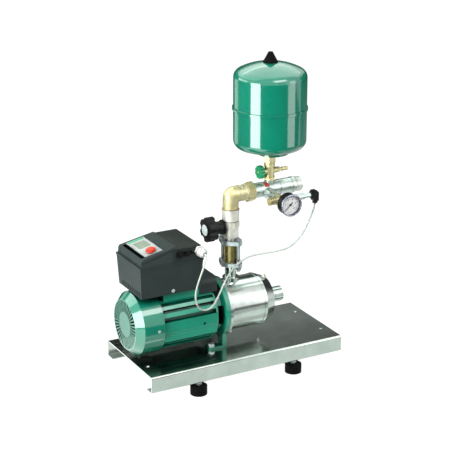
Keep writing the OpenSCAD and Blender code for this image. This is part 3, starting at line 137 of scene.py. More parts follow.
class Graph:
    """One material and short calls that add nodes to it."""

    def __init__(self, name, color, metallic=0.0, roughness=0.5, **sockets):
        self.material = bpy.data.materials.new(name)
        self.material.use_nodes = True
        self.material.diffuse_color = color
        self.tree = self.material.node_tree
        self.shader = self.tree.nodes["Principled BSDF"]
        self.shader.inputs["Base Color"].default_value = color
        self.shader.inputs["Metallic"].default_value = metallic
        self.shader.inputs["Roughness"].default_value = roughness
        for socket, value in sockets.items():
            self.shader.inputs[socket.replace("_", " ")].default_value = value
        self.place = self.add("ShaderNodeTexCoord").outputs["Object"]

    def add(self, kind, inputs=(), **settings):
        return add_node(self.tree, kind, inputs, **settings)

    def join(self, source, socket):
        self.tree.links.new(source, self.shader.inputs[socket])

    def combine(self, operation, first, second):
        return self.add("ShaderNodeMath", {0: first, 1: second}, operation=operation).outputs[0]

    def stretched(self, scale):
        return self.add("ShaderNodeMapping", {"Vector": self.place, "Scale": scale}).outputs["Vector"]

    def around_x(self, along, around):
        """Coordinates that run round the pump axis, for a surface brushed on a lathe."""
        part = self.add("ShaderNodeSeparateXYZ", {0: self.place}).outputs
        height = self.combine("SUBTRACT", part["Z"], AXIS_Z * MM)
        angle = self.combine("ARCTAN2", part["Y"], height)
        far = self.combine("MULTIPLY", part["X"], along)
        turn = self.combine("MULTIPLY", angle, around)
        return self.add("ShaderNodeCombineXYZ", {0: far, 1: turn}).outputs[0]

    def noise(self, scale, detail=2.0, place=None, roughness=0.5):
        return self.add("ShaderNodeTexNoise", {
            "Vector": place or self.place, "Scale": scale, "Detail": detail, "Roughness": roughness,
        }).outputs["Fac"]

    def span(self, value, low, high, start=0.3, end=0.7):
        """The value, stretched from between start and end to between low and high."""
        return self.add("ShaderNodeMapRange", {
            "Value": value, "From Min": start, "From Max": end, "To Min": low, "To Max": high,
        }).outputs["Result"]

    def colors(self, value, first, second, start=0.3, end=0.7):
        """A colour between the first, at start, and the second, at end."""
        ramp = self.add("ShaderNodeValToRGB", {"Fac": value})
        for element, position, color in zip(ramp.color_ramp.elements, (start, end), (first, second)):
            element.position = position
            element.color = color
        return ramp.outputs["Color"]

    def crevice(self, color, reach, floor):
        """The colour, darkened as painted shade where other surfaces stand close, and by how much."""
        shade = self.add("ShaderNodeAmbientOcclusion", {"Distance": reach}, samples=4).outputs["AO"]
        level = self.span(shade, floor, 1.0, start=0.25, end=0.85)
        inputs = {"Factor": 1.0, 6: color, 7: level}
        mix = self.add("ShaderNodeMix", inputs, data_type="RGBA", blend_type="MULTIPLY")
        return mix.outputs[2], level

    def bump(self, height, strength, distance, normal=None):
        inputs = {"Height": height, "Strength": strength, "Distance": distance}
        if normal:
            inputs["Normal"] = normal
        return self.add("ShaderNodeBump", inputs).outputs["Normal"]


def paint(name, color, reach, floor, cast=False):
    """Gloss enamel: orange peel on sheet, and on a casting a coarser skin. Painted shade darkens it where other
    surfaces stand close, and on a casting dims its coat there too.
    """
    g = Graph(name, color, roughness=0.35, Specular_IOR_Level=0.1, Coat_Weight=1.0, Coat_IOR=1.78,
              Coat_Roughness=0.2 if cast else 0.09)
    coat = g.colors(g.noise(11, detail=4), tint(color, 0.9), tint(color, 1.08))
    shaded, level = g.crevice(coat, reach, floor)
    g.join(shaded, "Base Color")
    g.join(g.span(g.noise(60, detail=3), 0.26, 0.42), "Roughness")
    peel = g.bump(g.noise(420, detail=1), strength=0.12 if cast else 0.05, distance=0.0006)
    if cast:
        g.join(level, "Coat Weight")
        peel = g.bump(g.noise(1500, detail=3), strength=0.1, distance=0.0004, normal=peel)
    g.join(peel, "Normal")
    return g.material


def brushed(name, color, roughness, scale, strength=0.12):
    """Metal with fine scratches along one direction and faint cloudy stains."""
    g = Graph(name, color, metallic=1.0, roughness=roughness)
    lines = g.noise(1.0, detail=3, place=g.stretched(scale))
    cloud = g.noise(14, detail=5)
    g.join(g.colors(cloud, tint(color, 0.86), tint(color, 1.06)), "Base Color")
    rough = g.span(lines, roughness - 0.07, roughness + 0.09)
    stain = g.span(cloud, -0.03, 0.05)
    g.join(g.combine("ADD", rough, stain), "Roughness")
    g.join(g.bump(lines, strength, distance=0.0003), "Normal")
    return g.material


def turned(name, color, roughness):
    """Stainless sheet that was brushed while it turned about the pump axis."""
    g = Graph(name, color, metallic=1.0, roughness=roughness)
    rings = g.noise(1.0, detail=4, place=g.around_x(along=2600, around=3))
    cloud = g.noise(1.0, detail=3, place=g.around_x(along=30, around=1.5))
    g.join(g.colors(cloud, tint(color, 0.9), tint(color, 1.05)), "Base Color")
    g.join(g.span(rings, roughness - 0.06, roughness + 0.08), "Roughness")
    g.join(g.bump(rings, strength=0.06, distance=0.0002), "Normal")
    return g.material


def cast_metal(name, color, roughness, grain, dirt=None, metal=1.0):
    """Cast or plated fitting: a soft uneven skin, with painted shade where other surfaces stand close."""
    g = Graph(name, color, metallic=metal, roughness=roughness)
    worn = g.colors(g.noise(45, detail=5), dirt or tint(color, 0.82), tint(color, 1.05), start=0.28, end=0.62)
    g.join(g.crevice(worn, reach=0.014, floor=0.3)[0], "Base Color")
    g.join(g.span(g.noise(120, detail=4), roughness - 0.07, roughness + 0.12), "Roughness")
    fine = g.bump(g.noise(900, detail=3), grain, distance=0.0004)
    g.join(g.bump(g.noise(110), grain, distance=0.0012, normal=fine), "Normal")
    return g.material


def plastic(name, color, roughness, grain, shade=0.35, **sockets):
    """Moulded plastic with a fine spark grain. Painted shade darkens it, down to shade, where other surfaces stand
    close, if shade is below 1.
    """
    g = Graph(name, color, roughness=roughness, **sockets)
    skin = g.colors(g.noise(25, detail=4), tint(color, 0.88), tint(color, 1.12))
    g.join(g.crevice(skin, reach=0.012, floor=shade)[0] if shade < 1 else skin, "Base Color")
    g.join(g.span(g.noise(200, detail=3), roughness - 0.05, roughness + 0.08), "Roughness")
    g.join(g.bump(g.noise(1700), grain, distance=0.0003), "Normal")
    return g.material


def rubber(name, color):
    """Matt rubber with dust on it."""
    g = Graph(name, color, roughness=0.62, Specular_IOR_Level=0.06)
    dust = g.noise(70, detail=6, roughness=0.65)
    g.join(g.colors(dust, color, tint(color, 2.4), start=0.5, end=0.75), "Base Color")
    g.join(g.span(dust, 0.52, 0.78), "Roughness")
    g.join(g.bump(g.noise(1100, detail=3), strength=0.18, distance=0.0004), "Normal")
    return g.material


def clear_cover(name, color):
    """A thin clear lens with faint wipe marks."""
    g = Graph(name, color, roughness=0.03, Alpha=0.03)
    g.join(g.span(g.noise(30, detail=3), 0.02, 0.06), "Roughness")
    return g.material


GREEN = srgb(9, 127, 101)
# one green paint; green_cover and green_cast carry wider and deeper painted shade than green_paint
RECIPES = {
    "green_paint": (paint, dict(color=GREEN, reach=0.015, floor=0.55)),
    "green_cover": (paint, dict(color=GREEN, reach=0.05, floor=0.05)),
    "green_cast": (paint, dict(color=tint(GREEN, 1.3), reach=0.06, floor=0.05, cast=True)),
    "stainless": (brushed, dict(color=(0.56, 0.6, 0.57, 1), roughness=0.15, scale=(5, 900, 900),
                                strength=0.05)),
    "barrel": (turned, dict(color=(0.58, 0.63, 0.6, 1), roughness=0.18)),
    "zinc": (cast_metal, dict(color=(0.56, 0.63, 0.65, 1), roughness=0.34, grain=0.08, metal=0.8)),
    "steel": (brushed, dict(color=(0.5, 0.5, 0.5, 1), roughness=0.3, scale=(700, 40, 40))),
    "rubber": (rubber, dict(color=(0.003, 0.003, 0.003, 1))),
    "grommet": (rubber, dict(color=(0.12, 0.125, 0.12, 1))),
    "brass_dull": (cast_metal, dict(color=srgb(172, 160, 108), dirt=srgb(130, 118, 72), metal=0.9,
                                    roughness=0.32, grain=0.06)),
    "brass_pale": (cast_metal, dict(color=srgb(216, 208, 162), dirt=srgb(192, 180, 128), metal=0.6,
                                    roughness=0.4, grain=0.1)),
    "nickel": (cast_metal, dict(color=srgb(230, 230, 220), dirt=srgb(206, 202, 188), metal=0.5,
                                roughness=0.42, grain=0.12)),
    "chrome": (cast_metal, dict(color=srgb(190, 202, 197), dirt=srgb(172, 182, 177), metal=0.85,
                                roughness=0.3, grain=0.04)),
    "bezel": (cast_metal, dict(color=srgb(168, 168, 186), dirt=srgb(128, 128, 148),
                               roughness=0.22, grain=0.03)),
    "black_plastic": (plastic, dict(color=(0.006, 0.007, 0.007, 1), roughness=0.34, grain=0.08,
                                    Specular_IOR_Level=0.2)),
    "dark_plastic": (plastic, dict(color=srgb(36, 46, 45), roughness=0.5, grain=0.2,
                                   Specular_IOR_Level=0.3)),
    "lid_plastic": (plastic, dict(color=srgb(27, 33, 29), roughness=0.55, grain=0.22,
                                  Specular_IOR_Level=0.3)),
    "grey_panel": (plastic, dict(color=srgb(178, 186, 182), roughness=0.34, grain=0.06)),
    "red_plastic": (plastic, dict(color=srgb(222, 62, 38), roughness=0.3, grain=0.04, Coat_Weight=0.3)),
    "green_plastic": (plastic, dict(color=srgb(26, 150, 96), roughness=0.34, grain=0.05)),
    "white_plastic": (plastic, dict(color=srgb(226, 226, 220), roughness=0.42, grain=0.06)),
    "cable_sheath": (plastic, dict(color=srgb(190, 202, 193), roughness=0.45, grain=0.1, shade=1.0)),
    "cap_grey": (plastic, dict(color=srgb(205, 220, 218), roughness=0.4, grain=0.08)),
    "dial_white": (plastic, dict(color=srgb(252, 252, 252), roughness=0.5, grain=0.02, shade=1.0)),
    "pointer_black": (plastic, dict(color=(0.01, 0.01, 0.01, 1), roughness=0.5, grain=0.04, shade=1.0)),
    "print_black": (plastic, dict(color=(0.02, 0.02, 0.022, 1), roughness=0.55, grain=0.02, shade=1.0)),
    "deep_black": (plastic, dict(color=(0.0012, 0.0012, 0.0013, 1), roughness=0.8, grain=0.02, shade=1.0,
                                 Specular_IOR_Level=0.05)),
    "lcd": (plastic, dict(color=srgb(132, 148, 126), roughness=0.22, grain=0.01, shade=1.0)),
    "strip_green": (plastic, dict(color=srgb(38, 172, 126), roughness=0.35, grain=0.03)),
    "red_paint": (plastic, dict(color=srgb(165, 52, 40), roughness=0.5, grain=0.1)),
    "hemp": (plastic, dict(color=srgb(120, 88, 44), roughness=0.7, grain=0.5)),
    "tape_white": (plastic, dict(color=srgb(240, 240, 230), roughness=0.55, grain=0.25)),
    "clear_glass": (clear_cover, dict(color=(0.9, 0.93, 0.95, 1))),
}
mat = {name: make(name, **settings) for name, (make, settings) in RECIPES.items()}

# finishes of the nodes, from the record's slots apart from these
OWN_FINISH = {
    "fan_cover": "green_cover",
    "motor_housing": "green_cast",
    "lantern": "green_cast",
    "pump_casing": "barrel",
    "suction_cover": "barrel",
    "terminal_cover": "lid_plastic",
    "vessel_cap": "rubber",
    "suction_nozzle": "chrome",
    "sensor_cable": "cable_sheath",
}
for entry in frame["record"]["subparts"]:
    node = entry["node"]
    finish = mat[OWN_FINISH.get(node, entry["material_slot"])]
    slots = nodes[node].data.materials
    if len(slots) == 0:
        slots.append(finish)
    for index in range(len(slots)):
        slots[index] = finish


# shapes, as points in mm and faces
def loft(rings, joined=False):
    """A skin over rings of points, with both ends capped or the last ring joined to the first."""
    count = len(rings[0])
    points = [point for ring in rings for point in ring]
    last = len(points) - count
    faces = []
    for start in range(0, len(points) if joined else last, count):
        after = (start + count) % len(points)
        for k in range(count):
            beside = (k + 1) % count
            faces.append((start + k, start + beside, after + beside, after + k))
    if not joined:
        faces.append(tuple(reversed(range(count))))
        faces.append(tuple(range(last, len(points))))
    return points, faces


def merge(shapes):
    """Several shapes as one."""
    points, faces = [], []
    for more, sides in shapes:
        start = len(points)
        points += more
        faces += [tuple(start + i for i in side) for side in sides]
    return points, faces


def facing(at, axis):
    """The move that carries the origin to a place and +Z onto an axis."""
    turn = Vector((0, 0, 1)).rotation_difference(Vector(axis))
    return Matrix.Translation(at) @ turn.to_matrix().to_4x4()


def polar(radius, turn, height=0.0):
    """A point at a radius and an angle about +Z."""
    return Vector((radius * math.cos(turn), radius * math.sin(turn), height))


def lathe(profile, at, axis, steps=72):
    """A closed profile of (radius, height) turned about an axis through a place."""
    place = facing(at, axis)
    rings = []
    for i in range(steps):
        turn = 2 * math.pi * i / steps
        rings.append([place @ polar(radius, turn, height) for radius, height in profile])
    return loft(rings, joined=True)


def prism(outline, low, high, place, bevel=0.0):
    """An outline raised from low to high, with its upper edge drawn in by bevel."""
    outline = [Vector((*point, 0)) for point in outline]
    center = sum(outline, Vector()) / len(outline)
    levels = [(low, 0.0), (high, bevel)]
    if bevel:
        levels.insert(1, (high - bevel, 0.0))
    rings = []
    for height, inset in levels:
        ring = [center + (point - center) * (1 - inset / (point - center).length) for point in outline]
        rings.append([place @ (point + Vector((0, 0, height))) for point in ring])
    return loft(rings)


def rounded(width, height, radius, steps=6):
    """Outline of a rounded rectangle about its middle."""
    outline = []
    for right, up, first in ((1, 1, 0), (-1, 1, 90), (-1, -1, 180), (1, -1, 270)):
        corner = Vector((right * (width / 2 - radius), up * (height / 2 - radius)))
        for i in range(steps + 1):
            turn = math.radians(first + 90 * i / steps)
            outline.append(tuple(corner + polar(radius, turn).to_2d()))
    return outline


def tray(length, width, depth, wall, place):
    """A thin open box below its own rim, as a lining for a cut-out."""
    outer = rounded(length, width, radius=0.8)
    inner = rounded(length - 2 * wall, width - 2 * wall, radius=0.5)
    levels = ((outer, -depth), (outer, 0), (inner, 0), (inner, wall - depth))
    return loft([[place @ Vector((*point, height)) for point in outline] for outline, height in levels])


def thread(at, axis, radius, pitch, length, depth, steps=40):
    """A ridge that winds round an axis as a screw thread does, fading out at both ends."""
    sunk = 0.25
    foot = 0.45 * pitch
    top = 0.08 * pitch
    fade = 1 / 12
    place = facing(at, axis)
    turns = (length - pitch) / pitch
    total = max(8, int(turns * steps))
    rings = []
    for i in range(total + 1):
        share = i / total
        turn = 2 * math.pi * turns * share
        rise = pitch / 2 + (length - pitch) * share
        crest = radius + depth * min(1.0, share / fade, (1 - share) / fade)
        section = ((radius - sunk, -foot), (crest, -top), (crest, top), (radius - sunk, foot))
        rings.append([place @ polar(reach, turn, rise + offset) for reach, offset in section])
    return loft(rings)


# a pan head with a round recess, in shares of its radius and height
PAN_HEAD = [(0, 0), (1, 0), (1, 0.45), (0.92, 0.75), (0.72, 0.95), (0.42, 1), (0.34, 0.55), (0, 0.55)]


def screw_head(at, axis, radius, height):
    """A pan-head screw's head, which stands on a place."""
    return lathe([(radius * out, height * up) for out, up in PAN_HEAD], at, axis, steps=28)


def piece(name, shape, material, body="set", sharp=35):
    """A piece of the object, smooth except across edges sharper than an angle in degrees."""
    points, faces = shape
    mesh = bpy.data.meshes.new(name)
    mesh.from_pydata([Vector(point) * MM for point in points], [], faces)
    work = bmesh.new()
    work.from_mesh(mesh)
    bmesh.ops.remove_doubles(work, verts=work.verts, dist=1e-6)
    bmesh.ops.recalc_face_normals(work, faces=work.faces)
    work.to_mesh(mesh)
    work.free()
    mesh.shade_smooth()
    mesh.set_sharp_from_angle(angle=math.radians(sharp))
    mesh.materials.append(mat[material])
    obj = new_object(name, mesh)
    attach(obj, body)
    return obj


# sensor cable, along the source's own route
CABLE_D = 5.0
ROUTE = [(-116, -105, 401.5), (-116, -111, 401.5), (-118, -119, 399), (-121, -126, 393), (-126, -130, 384),
         (-133, -132, 369), (-141, -132, 349), (-148, -129, 325), (-151.5, -125, 302), (-150, -120, 278),
         (-143, -116, 258), (-133, -113, 245), (-121, -110, 238), (-109, -108, 236), (-97, -105, 237.5),
         (-85, -100.5, 242.5), (-75, -96, 251), (-64, -91, 262), (-52.5, -84, 274), (-41, -77, 285.5),
         (-29, -70, 296), (-15, -61, 307), (-0.5, -52, 314.5), (13, -45, 321), (26.5, -42, 327.5),
         (36.5, -43, 333), (48, -45.5, 339), (65.5, -49, 344.5), (88.5, -54.5, 347.5), (117, -61.5, 350),
         (140.5, -66.5, 352), (160.5, -71.5, 356), (177.5, -76, 363.5), (193, -80, 377), (207, -83.5, 394),
         (218.5, -86, 413.5), (229, -88, 435.5), (238, -89.5, 458), (243, -90, 473), (245.5, -90, 487)]
route = [Vector(point) * MM for point in ROUTE]
curve = bpy.data.curves.new("signal_cable", "CURVE")
curve.dimensions = "3D"
curve.bevel_depth = CABLE_D / 2 * MM
curve.bevel_resolution = 6
curve.resolution_u = 8
curve.use_fill_caps = True
spline = curve.splines.new("BEZIER")
spline.bezier_points.add(len(route) - 1)
for i, knot in enumerate(spline.bezier_points):
    reach = (route[min(i + 1, len(route) - 1)] - route[max(i - 1, 0)]) / 6
    knot.handle_left_type = knot.handle_right_type = "FREE"
    knot.co = route[i]
    knot.handle_left = route[i] - reach
    knot.handle_right = route[i] + reach
curve.materials.append(mat["cable_sheath"])
cable = new_object("signal_cable", curve)
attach(cable, "set")
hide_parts("sensor_cable")

# display panel: screen, green strip, and a black lining that paints the shade of a deep hole into the slot below
# it
PANEL_THICK = 2.0
button_axis = joints["button_turn"]["axis"]
PANEL_TILT = math.atan2(-button_axis[0], button_axis[2])
panel_foot = lowest("display_panel")
PANEL_EDGE = Vector((panel_foot.x + PANEL_THICK * math.sin(PANEL_TILT), 0, panel_foot.z))


def on_panel(along, across, lift=PANEL_THICK):
    """The move to a place on the sloping panel, from its lower edge, its middle line and its back."""
    slope = Matrix.Translation(PANEL_EDGE) @ Matrix.Rotation(-PANEL_TILT, 4, "Y")
    return slope @ Matrix.Translation((along, across, lift))


screen = rounded(34.5, 45, radius=1.5)
piece("panel_screen", prism(screen, low=-0.4, high=0.35, place=on_panel(27.3, 15), bevel=0.3), "lcd")
strip = rounded(48, 9.5, radius=0.8)
piece("panel_strip", prism(strip, low=-0.3, high=0.25, place=on_panel(26.5, 54), bevel=0.2), "strip_green")
lining = tray(length=10.4, width=121.8, depth=8.7, wall=0.3, place=on_panel(-6.75, 0, lift=-0.25))
piece("recess_shade", lining, "deep_black")

# gauge: bezel ring, scale and figures
DIAL_FACE = pivot("gauge_pointer_turn")
DIAL = Matrix.Translation(DIAL_FACE) @ Matrix.Rotation(math.radians(90), 4, "X")
BEZEL = [(28.2, 0), (28.2, 1.2), (29.0, 2.0), (30.6, 2.0), (31.6, 1.2), (31.9, 0), (31.9, -5), (31.5, -5.5),
         (31.5, 0)]
DIAL_SWEEP = joints["gauge_pointer_turn"]["range_deg"][1]
DIAL_START = 90 + DIAL_SWEEP / 2
LONG_MARK = (20.8, 0.42)
SHORT_MARK = (22.6, 0.2)
MARK_END = 24.6
MARK_STEPS = 25
MARK_GROUP = 5
FIGURE_TOP = 10
FIGURE_STEP = 2
FIGURE_RING = 16.2
FIGURE_SIZE = 6.2
FIGURE_HALF_THICK = 0.06
FIGURE_LIFT = 0.08


def dial_turn(share):
    """The angle at a share of the scale. It runs clockwise from its lower left end, as the pointer does."""
    return math.radians(DIAL_START - DIAL_SWEEP * share)


def dial_mark(share, start, half):
    """One mark of the scale, with its inner radius and half its width. All marks end on one ring."""
    turn = dial_turn(share)
    ray = polar(1, turn).to_2d()
    side = polar(half, turn + math.pi / 2).to_2d()
    corners = [ray * start - side, ray * MARK_END - side, ray * MARK_END + side, ray * start + side]
    return prism(corners, low=-0.05, high=0.12, place=DIAL)


front = Vector((DIAL_FACE.x, lowest("gauge_case").y, DIAL_FACE.z))
piece("gauge_bezel", lathe(BEZEL, front, (0, -1, 0), steps=96), "bezel", sharp=50)
marks = []
for i in range(MARK_STEPS + 1):
    size = SHORT_MARK if i % MARK_GROUP else LONG_MARK
    marks.append(dial_mark(i / MARK_STEPS, *size))
piece("gauge_scale", merge(marks), "print_black")
for value in range(0, FIGURE_TOP + 1, FIGURE_STEP):
    text = bpy.data.curves.new(f"gauge_figure_{value}", "FONT")
    text.body = str(value)
    text.size = FIGURE_SIZE * MM
    text.align_x = "CENTER"
    text.align_y = "CENTER"
    text.extrude = FIGURE_HALF_THICK * MM
    text.materials.append(mat["print_black"])
    figure = new_object(f"gauge_figure_{value}", text)
    spot = DIAL @ polar(FIGURE_RING, dial_turn(value / FIGURE_TOP), FIGURE_LIFT)
    figure.matrix_world = Matrix.Translation(spot * MM) @ DIAL.to_3x3().to_4x4()
    bpy.context.view_layer.update()
    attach(figure, "set")

# outlet thread, and tape and hemp at the joints of the pipes
ALONG = (1, 0, 0)
UP = (0, 0, 1)
TAPE_R = 22.8
TAPE = [(TAPE_R - 1, -0.9), (TAPE_R + 0.4, -0.9), (TAPE_R + 0.9, 0), (TAPE_R + 0.4, 0.9), (TAPE_R - 1, 0.9)]
HEMP = [(22.2, 0), (24.6, 0), (24.2, 1.1), (22.9, 1.7), (22.2, 1.7)]
TAPE_BACKS = (22, 7)
THREAD_BACK = 22
outlet = Vector((highest("manifold_pipe").x - THREAD_BACK, 0, PIPE_Z))
piece("outlet_ridges", thread(outlet, ALONG, radius=20.8, pitch=2.31, length=21.5, depth=0.45), "nickel")
elbow_end = highest("elbow").x
tapes = [lathe(TAPE, (elbow_end - back, 0, PIPE_Z), ALONG) for back in TAPE_BACKS]
piece("union_tapes", merge(tapes), "tape_white", sharp=60)
piece("socket_hemp", lathe(HEMP, (RISER_X, 0, highest("stop_valve_body").z), UP), "hemp", sharp=60)

# screws on the fan cover and the converter
COVER_SCREW_TURNS = (180, 60, -60)
COVER_SCREW_BACK = 18.0
COVER_SCREW_SUNK = 0.4
cover_rim = highest("fan_cover")
cover_r = cover_rim.z - AXIS_Z
heads = []
for turn in COVER_SCREW_TURNS:
    out = Vector((0, math.cos(math.radians(turn)), math.sin(math.radians(turn))))
    spot = Vector((cover_rim.x - COVER_SCREW_BACK, 0, AXIS_Z)) + out * (cover_r - COVER_SCREW_SUNK)
    heads.append(screw_head(spot, out, radius=4.2, height=2.4))
piece("fan_cover_screws", merge(heads), "zinc")
TUB_SCREW = Vector((-195, 73.3, 296))
heads = []
for side in (-1, 1):
    spot = Vector((TUB_SCREW.x, side * TUB_SCREW.y, TUB_SCREW.z))
    heads.append(screw_head(spot, (0, side, 0), radius=5, height=1.6))
piece("converter_screws", merge(heads), "zinc")

# red mark on the manifold and brass screw in the green knob
MARK_ROWS = (126, 131, 136, 140)
MARK_TURNS = range(12, 58, 5)
MARK_INNER = 21.1
MARK_OUTER = 21.5


def on_pipe(x, radius, degrees):
    """A point round the manifold, counted from its top toward the front."""
    turn = math.radians(degrees)
    return Vector((x, -radius * math.sin(turn), PIPE_Z + radius * math.cos(turn)))


rows = []
for x in MARK_ROWS:
    inner = [on_pipe(x, MARK_INNER, turn) for turn in MARK_TURNS]
    outer = [on_pipe(x, MARK_OUTER, turn) for turn in MARK_TURNS]
    rows.append(inner + outer[::-1])
piece("flow_mark", loft(rows), "red_paint")
KNOB_SCREW_SUNK = 0.3
knob_face = Vector((lowest("vessel_valve_knob").x + KNOB_SCREW_SUNK, 0, pivot("vessel_valve_turn").z))
knob_screw = screw_head(knob_face, (-1, 0, 0), radius=3.4, height=1.6)
piece("knob_screw", knob_screw, "brass_pale", "vessel_valve_handle")


# cable tie that holds the cable to the near flange bolt
def flange_bolt(turn):
    """The middle of a flange bolt, seen from above."""
    return Vector((RISER_X, 0)) + polar(BOLT_RING, math.radians(turn)).to_2d()


def around_two(first, first_r, second, second_r, count=40):
    """Outline of a band drawn tight round two circles."""
    spots = []
    for k in range(count):
        way = polar(1, 2 * math.pi * k / count).to_2d()
        spots.append(max((first + way * first_r, second + way * second_r), key=lambda spot: spot.dot(way)))
    return spots


TIE_LOW = 326.4
TIE_HIGH = 329.6
TIE_IN = 0.35
TIE_OUT = 1.5
TIED_CABLE = Vector((27.6, -42.1))
TIED_R = 2.6
BOLT_R = 5.0
loops = []
for grow, z in ((TIE_OUT, TIE_LOW), (TIE_OUT, TIE_HIGH), (TIE_IN, TIE_HIGH), (TIE_IN, TIE_LOW)):
    band = around_two(flange_bolt(BOLT_TURNS[0]), BOLT_R + grow, TIED_CABLE, TIED_R + grow)
    loops.append([(*spot, z) for spot in band])
piece("cable_tie", loft(loops, joined=True), "white_plastic")

# grommet in the gland's nose, threads under the flange nuts
GROMMET = [(2.7, -3), (2.7, 0.5), (3.3, 0.9), (4.4, 0.7), (4.8, 0), (4.8, -0.6)]
nose = middle("cable_gland")
nose.y = lowest("cable_gland").y
piece("gland_grommet", lathe(GROMMET, nose, (0, -1, 0), steps=40), "grommet", sharp=50)
RIDGE_DROP = 0.1
bolt_end = lowest("flange_bolts").z - RIDGE_DROP
ridges = []
for turn in BOLT_TURNS:
    foot = Vector((*flange_bolt(turn), bolt_end))
    ridges.append(thread(foot, UP, radius=4.9, pitch=1.5, length=6.2, depth=0.35, steps=24))
piece("flange_bolt_ridges", merge(ridges), "zinc")

# coil of the check valve, at one length here, though the real coil shortens as the disc lifts
COIL_LOW = 330.3
COIL_HIGH = 369.7
COIL_R = 5.6
WIRE = 0.7
COIL_TURNS = 5
COIL_STEPS = 36
WIRE_SIDES = 10
wire_rings = []
for k in range(COIL_TURNS * COIL_STEPS + 1):
    out = polar(1, 2 * math.pi * k / COIL_STEPS)
    height = COIL_LOW + (COIL_HIGH - COIL_LOW) * k / (COIL_TURNS * COIL_STEPS)
    center = Vector((RISER_X, 0, height)) + out * COIL_R
    section = [polar(WIRE, 2 * math.pi * n / WIRE_SIDES) for n in range(WIRE_SIDES)]
    wire_rings.append([center + out * spot.x + Vector((0, 0, spot.y)) for spot in section])
spring = piece("check_coil", loft(wire_rings), "steel")
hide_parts("check_spring")
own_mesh(spring)

# softened edges on the moulded and cast nodes, with their widths in mm
SOFT_EDGES = {
    "converter_tub": 1.4, "converter_cover": 1.2, "terminal_cover": 1.5, "converter_adapter": 2.0,
    "display_panel": 0.6, "lantern": 1.0, "motor_housing": 0.7, "star_knob": 1.6, "red_knob": 0.9,
    "vessel_valve_knob": 1.0, "discharge_flange": 0.9, "valve_flange": 0.9, "union_nut": 0.8,
    "stop_valve_body": 0.5, "fan_cover": 0.8,
}
for node, width in SOFT_EDGES.items():
    soft = nodes[node].modifiers.new("soft_edges", "BEVEL")
    soft.width = width * MM
    soft.segments = 2
    soft.limit_method = "ANGLE"
    soft.angle_limit = math.radians(40)
    soft.harden_normals = True


# studio, in metres: pale floor, soft boxes, reflection cards and sky
FLOOR_HALF = 30
FLOOR_GREY = (0.2, 0.2, 0.2, 1)
FLOOR_SEEN = 0.96
SKY_LIGHT = 0.22
WHITE = (1, 1, 1, 1)
CARD_TINT = (0.9, 1.0, 0.95, 1)
CARD_FADE = (0.35, 0.6)


def bare_tree(owner):
    """The emptied node tree of a material or world."""
    owner.use_nodes = True
    owner.node_tree.nodes.clear()
    return owner.node_tree


def shown(tree):
    """A socket that is 1 for what camera, gloss and glass show, and 0 for the light on the object."""
    path = add_node(tree, "ShaderNodeLightPath").outputs
    rays = {0: path["Is Camera Ray"], 1: path["Is Glossy Ray"]}
    straight = add_node(tree, "ShaderNodeMath", rays, operation="MAXIMUM").outputs[0]
    rays = {0: straight, 1: path["Is Transmission Ray"]}
    return add_node(tree, "ShaderNodeMath", rays, operation="MAXIMUM").outputs[0]


def flat(x, y, z):
    """Corners of a level sheet over a range of x and a range of y."""
    return [(x[0], y[0], z), (x[1], y[0], z), (x[1], y[1], z), (x[0], y[1], z)]


def upright(start, end, low, high):
    """Corners of an upright sheet over a line on the ground."""
    return [(*start, low), (*end, low), (*end, high), (*start, high)]


def stage_sheet(name, corners, surface):
    """A flat sheet of the studio, which isn't part of the object."""
    mesh = bpy.data.meshes.new(name)
    mesh.from_pydata(corners, [], [(0, 1, 2, 3)])
    mesh.materials.append(surface)
    obj = new_object(name, mesh)
    return obj


def floor_surface():
    """A dull grey that keeps the shadow, and shows as white."""
    surface = bpy.data.materials.new("floor")
    tree = bare_tree(surface)
    dull = add_node(tree, "ShaderNodeBsdfDiffuse", {"Color": FLOOR_GREY})
    strength = add_node(tree, "ShaderNodeMath", {0: shown(tree), 1: FLOOR_SEEN}, operation="MULTIPLY")
    glow = add_node(tree, "ShaderNodeEmission", {"Color": WHITE, "Strength": strength.outputs[0]})
    both = add_node(tree, "ShaderNodeAddShader", {0: dull.outputs[0], 1: glow.outputs[0]})
    add_node(tree, "ShaderNodeOutputMaterial", {"Surface": both.outputs[0]})
    return surface


def soft_box(name, at, toward, width, height, radiance):
    """A rectangular lamp that the camera doesn't see."""
    lamp = bpy.data.lights.new(name, "AREA")
    lamp.shape = "RECTANGLE"
    lamp.size = width
    lamp.size_y = height
    lamp.energy = radiance * math.pi * width * height
    obj = new_object(name, lamp)
    obj.location = at
    obj.rotation_euler = aimed(at, toward)
    obj.visible_camera = False
    return obj


def card(name, corners, low, high=None):
    """A sheet that shows only in gloss and metal, with one radiance, or with one low down and one high up."""
    surface = bpy.data.materials.new(name)
    tree = bare_tree(surface)
    place = add_node(tree, "ShaderNodeTexCoord").outputs["Object"]
    fade = add_node(tree, "ShaderNodeMapRange", {
        "Value": add_node(tree, "ShaderNodeSeparateXYZ", {0: place}).outputs["Z"],
        "From Min": CARD_FADE[0], "From Max": CARD_FADE[1],
        "To Min": low, "To Max": low if high is None else high,
    })
    glow = add_node(tree, "ShaderNodeEmission", {"Color": CARD_TINT, "Strength": fade.outputs["Result"]})
    add_node(tree, "ShaderNodeOutputMaterial", {"Surface": glow.outputs[0]})
    obj = stage_sheet(name, corners, surface)
    obj.visible_camera = obj.visible_diffuse = obj.visible_shadow = False


def sky():
    """A white world that gives little light."""
    world = bpy.data.worlds.new("world")
    tree = bare_tree(world)
    light = add_node(tree, "ShaderNodeBackground", {"Color": WHITE, "Strength": SKY_LIGHT})
    white = add_node(tree, "ShaderNodeBackground", {"Color": WHITE, "Strength": 1.0})
    mix = add_node(tree, "ShaderNodeMixShader", {0: shown(tree), 1: light.outputs[0], 2: white.outputs[0]})
    add_node(tree, "ShaderNodeOutputWorld", {"Surface": mix.outputs[0]})
    return world


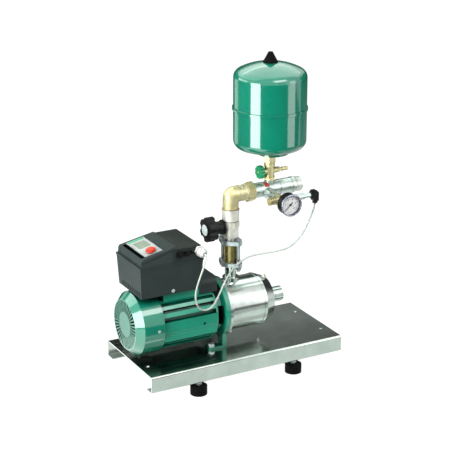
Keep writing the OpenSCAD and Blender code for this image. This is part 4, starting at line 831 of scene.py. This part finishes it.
stage_sheet("floor", flat((-FLOOR_HALF, FLOOR_HALF), (-FLOOR_HALF, FLOOR_HALF), 0), floor_surface())
bpy.context.scene.world = sky()

# card_key shows in place of the key lamp
key_lamp = soft_box("key_left", (-1.4, -0.5, 0.95), toward=(0.1, 0, 0.7), width=0.9, height=1.4,
                    radiance=8.8)
key_lamp.visible_glossy = False
soft_box("strip_right", (1.1, -1.2, 0.8), toward=(0.1, 0, 0.8), width=0.7, height=1.3, radiance=2.6)
soft_box("top", (0.1, 0.9, 2.5), toward=(0.1, 0.4, 0.5), width=2.6, height=2.2, radiance=1.6)
soft_box("front_top", (0.3, -1.9, 2.3), toward=(0, 0, 0.4), width=1.6, height=0.9, radiance=6.0)

# cards that give gloss and metal their dark and pale bands, with their radiance
card("card_back", upright((-0.32, 0.6), (1.5, 0.6), 0.02, 1.06), 0.26, 0.03)
card("card_left", upright((-1.2, 0.3), (-0.75, 1.125), 0.82, 1.2), 4.0)
card("card_right", upright((1.3, 0.6), (1.3, -0.3), 0.02, 1.25), 0.26, 0.03)
card("card_front", flat((-4, 3), (-6, -0.85), 0.005), 0.03)
card("card_under", upright((-0.32, 0.59), (0.3, 0.59), 0.02, 0.4), 0.01)
card("card_top", flat((-2.2, 2.6), (-0.3, 3.2), 2.3), 2.2)
card("card_low_left", upright((-1.56, 0.02), (-0.6, 1.4), 0.01, 0.8), 0.1)
card("card_edge", upright((-0.32, 0.59), (-0.02, 0.59), 0.42, 0.76), 1.3)
card("card_barrel", upright((0.6, -1.3), (1.1, -1.3), 0.62, 1.7), 1.9)
card("card_floor_left", flat((-1.4, -0.33), (-0.85, 0.3), 0.006), 2.6)
card("card_strip", flat((-2, 2), (-0.37, -0.158), 0.003), 1.0)
card("card_key", upright((-1.28, -0.85), (-1.52, 0.01), 0.1, 0.95), 10.5)
card("card_side", flat((0.19, 2), (-0.85, -0.37), 0.005), 0.66)
card("card_near", flat((-2, 0.19), (-0.85, -0.37), 0.004), 0.1)
